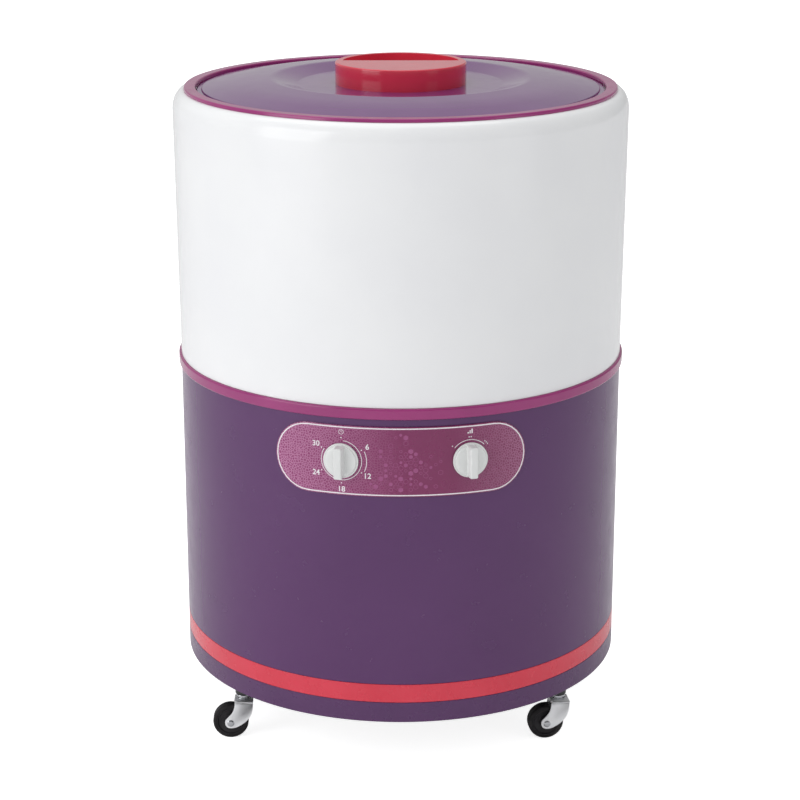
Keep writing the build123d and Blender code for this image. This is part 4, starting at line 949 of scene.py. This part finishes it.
for number, ((x, y), yaw) in enumerate(zip(caster_spots, caster_turns), 1):
    stand = Matrix.Translation((x, y, 0)) @ Matrix.Rotation(radians(yaw), 4, "Z")
    caster, fork_node, wheel = f"caster_{number}", f"caster_fork_{number}", f"wheel_{number}"
    fork, swivel, tyre = bent_fork(), swivel_parts(), caster_tyre()
    for work in (fork, swivel, tyre):
        placed(work, stand)
    fork_piece = settle(fork, f"bent_fork_{number}", fork_plate, caster, "zinc_steel", fork_node)
    sheet = fork_piece.modifiers.new("sheet", "SOLIDIFY")
    sheet.thickness, sheet.offset, sheet.use_even_offset = fork_sheet * thousandth, 0.0, True
    edges = fork_piece.modifiers.new("tumbled_edges", "BEVEL")
    edges.width, edges.segments = fork_edge * thousandth, 3
    fork_piece.modifiers.move(0, 2)
    settle(swivel, f"swivel_pin_{number}", chrome, caster, "zinc_steel", fork_node)
    tyre_finishes = [tyre_black, core_black]
    tyre_name, tyre_node = f"trailing_wheel_{number}", f"caster_wheel_{number}"
    settle(tyre, tyre_name, tyre_finishes, wheel, "wheel_rubber", tyre_node)


# Control panel. A stiff printed overlay that follows the cabinet's curve, with
# a rounded front edge. Its white scale, border and plain numbers are printed
# over a magenta ground with a fine mesh.
panel_level = 460.0
panel_back = 310.1
panel_thick = 2.0
panel_half_tall = 47.5
panel_half_wide = radians(31.5) * cabinet_radius
panel_edge = 0.7
panel_end_flat = 0.05
panel_strip = 4.0
ink_lift = 0.06
timer_azimuth = -14.3
force_azimuth = 16.7
timer_across = radians(timer_azimuth) * cabinet_radius
force_across = radians(force_azimuth) * cabinet_radius
border_inset = 1.5
border_width = 1.6
scale_radius = 30.8
number_radius = 39.6
number_height = 7.2
number_scale = 1.42
number_swell = 0.022
line_width = 0.85
dial_arc = 26.9
strong_arc = 33.4
mark_dot = 0.85
small_dot = 0.8
timer_marks = 6
timer_step = 60
timer_arc = (6, 302)
rinse_arc = (66, 114)
force_marks = (-50, 0, 46)
dot_lean = 5.0
clock_level = 38.6
clock_radius = 3.1
clock_line = 0.6
clock_hands = ((0, 2.1), (100, 1.6))
hand_half = 0.25
hand_tail = 0.2
step_level = 35.4
step_start = -3.6
step_pitch = 2.6
step_width = 1.7
step_heights = (2.2, 4.2, 6.2)
overlay_reach = 0.172


def flat_outline(half_wide, half_tall, rounding):
    """Face-up flat plate of that half width and half height, with rounded corners."""
    corners = [
        (x * half_wide, y * half_tall, rounding) for x, y in ((-1, -1), (1, -1), (1, 1), (-1, 1))
    ]
    bm = flat_face(*corners)
    bmesh.ops.rotate(bm, matrix=Matrix.Rotation(-pi / 2, 3, "X"), verts=bm.verts)
    return bm


def thickened(bm, way):
    """Gives flat work that thickness, with its faces outwards."""
    pushed = bmesh.ops.extrude_face_region(bm, geom=bm.faces[:])["geom"]
    bmesh.ops.translate(bm, vec=way, verts=verts_in(pushed))
    facing_out(bm)


def wrapped(bm, lift=0.0):
    """Cuts flat work into strips, keeps its flat place as UV and bends it round the cabinet."""
    strips = ceil(max(abs(vert.co.x) for vert in bm.verts) / panel_strip)
    for index in range(-strips, strips + 1):
        cut_along(bm, (index * panel_strip, 0, 0), (1, 0, 0))
    layer = bm.loops.layers.uv.new("flat_place")
    for face in bm.faces:
        for loop in face.loops:
            loop[layer].uv = (loop.vert.co.x * thousandth, loop.vert.co.y * thousandth)
    for vert in bm.verts:
        turn = vert.co.x / cabinet_radius
        reach = panel_back + vert.co.z + lift
        vert.co = (reach * sin(turn), -reach * cos(turn), panel_level + vert.co.y)
    return bm


panel = flat_outline(panel_half_wide, panel_half_tall, panel_half_tall - panel_end_flat)
thickened(panel, (0, 0, panel_thick))
front_edges = [
    edge for edge in panel.edges if lies_at(edge, panel_thick) and meets_wall(edge)
]
rounded(panel, front_edges, panel_edge, 4)
wrapped(panel)

overlay, overlay_tree, overlay_shader = new_finish("panel_overlay_print", Coat_Weight=0.3)
overlay_place = add(overlay_tree, "UVMap", uv_map="flat_place").outputs["UV"]
overlay_axis = add(overlay_tree, "SeparateXYZ", {"Vector": overlay_place})
overlay_along = ranged(overlay_tree, overlay_axis.outputs["X"], -overlay_reach, overlay_reach)
# The magenta ground is the overlay's own colour. Its fall from a lighter left end to a darker
# middle and right is painted light, as from the lamp at the left.
ground = add(overlay_tree, "ValToRGB", {"Fac": overlay_along})
ground.color_ramp.elements[0].color = tone(134, 40, 102)
ground.color_ramp.elements[1].color = tone(119, 34, 82)
middle_stop = ground.color_ramp.elements.new(0.52)
middle_stop.color = tone(121, 31, 85)
mesh_cells = add(
    overlay_tree,
    "TexVoronoi",
    {"Vector": overlay_place, "Scale": 300.0},
    voronoi_dimensions="2D",
    feature="DISTANCE_TO_EDGE",
)
mesh_lines = ranged(overlay_tree, mesh_cells.outputs["Distance"], 0.2, 0.08)
mesh_fade = add(overlay_tree, "ValToRGB", {"Fac": overlay_along})
mesh_fade.color_ramp.elements[0].color = (0.8, 0.8, 0.8, 1)
mesh_fade.color_ramp.elements[1].color = (0.55, 0.55, 0.55, 1)
for spot, level in ((0.34, 0.3), (0.5, 0.0), (0.7, 0.0), (0.84, 0.26)):
    stop = mesh_fade.color_ramp.elements.new(spot)
    stop.color = (level, level, level, 1)
mesh_share = combined(overlay_tree, "MULTIPLY", mesh_lines, mesh_fade.outputs["Color"])
mesh_pink = tone(204, 142, 180)
overlay_shade = blended(overlay_tree, mesh_share, ground.outputs["Color"], mesh_pink)
overlay_skin = {"low": 0.24, "high": 0.34, "smears": 60.0, "grain": 900.0, "depth": 0.008}
skinned(overlay_tree, overlay_shader, overlay_shade, **overlay_skin)
settle(panel, "panel_overlay", overlay, "root", "panel_overlay", "control_panel")


def inked(name, pale, strong):
    """Opaque screen ink, slightly uneven and less glossy than what it lies on."""
    finish, tree, shader = new_finish(name)
    shade = cloudy(tree, pale, strong, 300.0, 4.0)
    skinned(tree, shader, shade, 0.36, 0.46, smears=300.0, grain=2200.0, depth=0.004)
    return finish


white_ink = inked("white_ink", tone(226, 222, 226), tone(238, 234, 238))
pink_ink = inked("pink_ink", tone(148, 72, 120), tone(158, 82, 130))


def ring_line(bm, half_wide, half_tall, rounding, width):
    """Adds a closed line of that width along a rounded outline."""
    line = flat_outline(half_wide, half_tall, rounding)
    bmesh.ops.inset_region(line, faces=line.faces[:], thickness=width, use_boundary=True)
    inner = min(line.faces, key=lambda face: -len(face.verts))
    bmesh.ops.delete(line, geom=[inner], context="FACES_ONLY")
    joined(bm, line)


def arc_line(bm, x, y, radius, start, end, width=line_width):
    """Adds an arc about x, y between two clock angles, counted from the top."""
    step = Matrix.Rotation(-radians(start), 3, "Z")
    ends = [
        bm.verts.new(Vector((x, y, 0)) + step @ Vector((0, radius + side * width / 2, 0)))
        for side in (-1, 1)
    ]
    edge = bm.edges.new(ends)
    bmesh.ops.spin(
        bm,
        geom=ends + [edge],
        cent=(x, y, 0),
        axis=(0, 0, -1),
        dvec=(0, 0, 0),
        angle=radians(end - start),
        steps=max(4, int((end - start) / 5)),
        use_merge=False,
        use_duplicate=False,
    )


def round_dot(bm, x, y, radius):
    """Adds a filled dot."""
    spot = Matrix.Translation((x, y, 0))
    bmesh.ops.create_circle(bm, cap_ends=True, segments=20, radius=radius, matrix=spot)


def numeral(bm, figures, x, y, height):
    """Adds plain figures centred on x, y."""
    drawn = bpy.data.curves.new("figures", "FONT")
    drawn.body = figures
    drawn.size = height * number_scale
    drawn.offset = height * number_swell
    drawn.align_x = "CENTER"
    drawn.align_y = "CENTER"
    holder = bpy.data.objects.new("figures", drawn)
    cut = bpy.data.meshes.new_from_object(holder)
    cut.transform(Matrix.Translation((x, y, 0)))
    bm.from_mesh(cut)
    bpy.data.meshes.remove(cut)
    bpy.data.objects.remove(holder)
    bpy.data.curves.remove(drawn)


def around(x, angle, radius):
    """Place at a clock angle and distance round a dial that stands at x."""
    return x + radius * sin(radians(angle)), radius * cos(radians(angle))


def patch(bm, place, left, low, right, high):
    """Adds a flat block between those sides, turned and moved by place."""
    corners = ((left, low), (right, low), (right, high), (left, high))
    bm.faces.new([bm.verts.new(place @ Vector((*corner, 0))) for corner in corners])


white_print = bmesh.new()
ring_line(
    white_print,
    panel_half_wide - border_inset,
    panel_half_tall - border_inset,
    panel_half_tall - border_inset - panel_end_flat,
    border_width,
)
for index in range(timer_marks):
    angle = timer_step * index
    round_dot(white_print, *around(timer_across, angle, scale_radius), mark_dot)
    if index:
        spot_x, spot_y = around(timer_across, angle, number_radius)
        numeral(white_print, str(timer_marks * index), spot_x, spot_y, number_height)
arc_line(white_print, timer_across, 0, dial_arc, *timer_arc)
arc_line(white_print, timer_across, 0, strong_arc, *rinse_arc)
arc_line(white_print, force_across, 0, dial_arc, force_marks[0], force_marks[-1])
for angle, dots in zip(force_marks, (1, 2, 3)):
    for index in range(dots):
        lean = angle + (index - (dots - 1) / 2) * dot_lean
        round_dot(white_print, *around(force_across, lean, scale_radius), small_dot)
arc_line(white_print, timer_across, clock_level, clock_radius, 0, 360, clock_line)
for hand_angle, hand in clock_hands:
    arm = Matrix.Rotation(-radians(hand_angle), 4, "Z")
    place = Matrix.Translation((timer_across, clock_level, 0)) @ arm
    patch(white_print, place, -hand_half, -hand_tail, hand_half, hand)
for index, tall in enumerate(step_heights):
    place = Matrix.Translation((force_across + step_start + step_pitch * index, step_level, 0))
    patch(white_print, place, 0, 0, step_width, tall)


# Generic print in a paler pink: open and filled hexagons on a loose honeycomb.
# They rise from the lower middle and thin out towards the dials.
pink_print = bmesh.new()
cell = 4.3
cell_line = 0.55
cell_sizes = (0.5, 0.66, 0.82)
open_share = 0.65
clear_of_timer = 45.0
clear_of_force = 37.0
clear_of_border = 9.0
clear_of_ends = 30.0
print_middle = 6.0
print_spread = 62.0
print_rise = 52.0
print_most = 0.95
print_columns = range(-19, 24)
print_rows = range(-10, 10)
scatter = Random(11)
for column in print_columns:
    for row in print_rows:
        x = column * cell * 1.5
        y = (row + 0.5 * (column % 2)) * cell * 3**0.5
        clear = min(
            Vector((x - timer_across, y)).length - clear_of_timer,
            Vector((x - force_across, y)).length - clear_of_force,
            panel_half_tall - clear_of_border - abs(y),
            panel_half_wide - panel_half_tall - abs(x) + clear_of_ends,
        )
        share = print_most - abs(x - print_middle) / print_spread - max(0.0, y) / print_rise
        if clear < 0 or scatter.random() > share:
            continue
        size = cell * scatter.choice(cell_sizes)
        spot = Matrix.Translation((x, y, 0))
        made = bmesh.ops.create_circle(
            pink_print, cap_ends=True, segments=6, radius=size, matrix=spot
        )
        if scatter.random() < open_share:
            face = made["verts"][0].link_faces[0]
            bmesh.ops.inset_region(
                pink_print, faces=[face], thickness=cell_line, use_boundary=True
            )
            bmesh.ops.delete(pink_print, geom=[face], context="FACES_ONLY")
for work in (white_print, pink_print):
    facing_out(work)
    for face in work.faces:
        if face.normal.z < 0:
            face.normal_flip()
wrapped(white_print, panel_thick + ink_lift)
wrapped(pink_print, panel_thick + ink_lift / 2)
settle(white_print, "panel_scale_print", white_ink, "root", "panel_overlay")
settle(pink_print, "panel_hexagon_print", pink_ink, "root", "panel_overlay")


# Dial knobs. Pale grey mouldings with a thin lip, a low crown and a tall grip
# bar across the middle, pushed on the flatted shafts of timer and switch.
dial_radius = 23.5
dial_lip = 3.2
dial_crown = 21.0
dial_crown_high = 5.6
dial_back = 312.7
grip_size = (13.0, 43.0, 19.0)
grip_rounding = 2.4
grip_draft = (0.84, 0.975, 1)

dial_plastic = moulded(
    "dial_plastic", tone(220, 222, 221), tone(228, 230, 229), tone(246, 247, 246), 0.2, 0.28
)


def faced(azimuth, radius):
    """Place on the cabinet's side: drawn Z points outwards and drawn Y up."""
    turn = radians(azimuth)
    out = Vector((sin(turn), -cos(turn), 0))
    across = Vector((cos(turn), sin(turn), 0))
    place = Matrix((across, Vector((0, 0, 1)), out)).transposed().to_4x4()
    place.translation = out * radius + Vector((0, 0, panel_level))
    return place


for dial_name, azimuth, body, node in (
    ("timer_grip_dial", timer_azimuth, "timer_dial", "timer_knob"),
    ("force_grip_dial", force_azimuth, "force_dial", "force_knob"),
):
    dial = turned(
        (0, 0),
        (dial_radius, 0, 0.3),
        (dial_radius, dial_lip, 0.9),
        (dial_crown, dial_lip - 0.3, 0.3),
        (dial_crown, dial_crown_high - 0.8, 1.0),
        (dial_crown - 4.0, dial_crown_high, 6.0),
        (0, dial_crown_high + 0.4),
        closed=False,
        steps=96,
    )
    lift = Matrix.Translation((0, 0, grip_size[2] / 2))
    grip = bar(dial, grip_size, grip_rounding, lift)
    upper = [vert for vert in grip if vert.co.z > grip_size[2] / 2]
    bmesh.ops.scale(dial, vec=grip_draft, verts=upper)
    placed(dial, faced(azimuth, dial_back))
    settle(dial, dial_name, dial_plastic, body, "dial_plastic", node)


# Agitator. A white moulding that stands on the gearbox shaft: a sloping foot
# disc, a tall column and four bowed fins with rounded edges. A domed cap closes
# the column over the bolt that holds it down.
agitator_foot = 426.0
agitator_radius = 162.0
agitator_shelf = 434.0
agitator_crest = 446.0
agitator_wall = 4.0
column_radius = 42.0
column_top = 735.0
fin_thick = 9.0
fin_root = 3.0
fin_tip = 157.0
fin_tip_rise = 14.0
fin_top = 707.0
fin_bow = (60.0, 516.0)
fin_rounding = 3.4
fin_count = 4

agitator = turned(
    (column_radius - agitator_wall, agitator_crest - agitator_wall),
    (agitator_radius - agitator_wall, agitator_shelf - agitator_wall),
    (agitator_radius - agitator_wall, agitator_foot, 0.6),
    (agitator_radius, agitator_foot, 0.6),
    (agitator_radius, agitator_shelf, 3.0),
    (column_radius, agitator_crest, 9.0),
    (column_radius, column_top, 0.6),
    (column_radius - agitator_wall, column_top),
)
for index in range(fin_count):
    fin = flat_face(
        (column_radius - fin_root, agitator_shelf),
        (fin_tip, agitator_shelf),
        (fin_tip, agitator_shelf + fin_tip_rise),
        (*fin_bow, "arc"),
        (column_radius + fin_root, fin_top),
        (column_radius - fin_root, fin_top),
    )
    placed(fin, Matrix.Translation((0, -fin_thick / 2, 0)))
    thickened(fin, (0, fin_thick, 0))
    rims = [
        edge
        for edge in fin.edges
        if any(abs(face.normal.y) > 0.9 for face in edge.link_faces)
        and any(abs(face.normal.y) < 0.1 for face in edge.link_faces)
        and max(vert.co.z for vert in edge.verts) > agitator_shelf + 1.0
        and max(vert.co.x for vert in edge.verts) > column_radius
    ]
    rounded(fin, rims, fin_rounding, 4)
    placed(fin, Matrix.Rotation(2 * pi * index / fin_count, 4, "Z"))
    joined(agitator, fin)
agitator_plastic = moulded(
    "agitator_plastic", tone(228, 229, 231), tone(236, 237, 238), tone(246, 246, 247), 0.22, 0.32
)
settle(agitator, "swirl_agitator", agitator_plastic, "agitator", "white_shell", "agitator")
dressed(agitator_plastic, "agitator_cap")
dressed(zinc_plate, "agitator_bolt", "lid_knob_screws")


# Drive. Cast gearbox halves with nylon gears, ground shafts in sintered
# bushes, and cast pulleys with a rubber belt, all under the tub.
cast_metal = plated(
    "cast_aluminium", tone(150, 152, 155), tone(172, 174, 177), 0.42, 0.58, 45.0, 900.0, 0.05
)
ground_steel = plated(
    "ground_steel", tone(160, 162, 166), tone(182, 184, 188), 0.16, 0.26, 20.0, 1600.0, 0.006
)
sintered_bronze = plated(
    "sintered_bronze", tone(150, 108, 62), tone(176, 130, 76), 0.4, 0.55, 260.0, 1800.0, 0.03
)
natural_nylon = moulded(
    "natural_nylon", tone(222, 216, 198), tone(230, 226, 210), tone(240, 238, 226), 0.42, 0.52
)
grey_moulding = moulded(
    "grey_moulding", tone(108, 111, 116), tone(120, 123, 128), tone(160, 162, 166), 0.42, 0.54
)
black_moulding = moulded(
    "black_moulding", tone(34, 34, 37), tone(42, 42, 45), tone(84, 84, 88), 0.38, 0.5
)
drive_rubber = rubbery("drive_rubber", tone(24, 24, 25), tone(36, 36, 37), tone(96, 92, 88))
hose_rubber = rubbery(
    "hose_rubber", tone(42, 42, 45), tone(52, 52, 55), tone(110, 108, 104), 0.4, 0.6
)
dressed(cast_metal, "gearbox_housing", "gearbox_cover", "drive_pulley", "motor_pulley")
dressed(natural_nylon, "ring_gear", "planet_gear_1", "planet_gear_2", "planet_gear_3")
dressed(ground_steel, "output_shaft", "planet_carrier", "sun_shaft", "motor_rotor")
dressed(sintered_bronze, "shaft_bushes")
dressed(zinc_plate, "support_frame", "drive_bolts", "motor_mount", "panel_bracket")
dressed(zinc_plate, "panel_screws", "hose_clamps")
dressed(drive_rubber, "drive_belt", "motor_grommets", "shaft_seal")


# Motor, switches and water parts. The motor's cup is black enamel over a
# laminated stator. Timer, switch and cord gland are black mouldings, and the
# capacitor, neck nut and drain parts are grey ones.
stack_pitch = 0.5
stack_step = 0.05

stator_stack, stack_tree, stack_shader = new_finish("stator_stack", Metallic=0.85)
stack_place = add(stack_tree, "TexCoord").outputs["Object"]
stack_sheets = add(
    stack_tree,
    "TexWave",
    {"Vector": stack_place, "Scale": 1 / (2 * pi * stack_pitch * thousandth), "Distortion": 0.4},
    bands_direction="Z",
)
stack_rust = cloudy(stack_tree, tone(98, 84, 72), tone(128, 118, 108), 60.0)
stack_shade = blended(stack_tree, stack_sheets.outputs["Fac"], stack_rust, tone(150, 146, 140))
stack_skin = {"low": 0.4, "high": 0.55, "smears": 90.0, "grain": 900.0, "depth": 0.02}
skinned(stack_tree, stack_shader, stack_shade, **stack_skin)
stack_relief = {"Height": stack_sheets.outputs["Fac"], "Strength": 0.7}
stack_bump = add(stack_tree, "Bump", stack_relief | {"Distance": stack_step * thousandth})
stack_tree.links.new(stack_bump.outputs["Normal"], stack_shader.inputs["Normal"])
dressed(stator_stack, "motor_stator")
dressed(black_enamel, "motor_housing")
dressed(black_moulding, "wash_timer", "force_switch", "cord_gland")
dressed(grey_moulding, "capacitor", "neck_nut", "drain_strainer", "drain_fitting", "drain_outlet")
dressed(hose_rubber, "drain_hose")
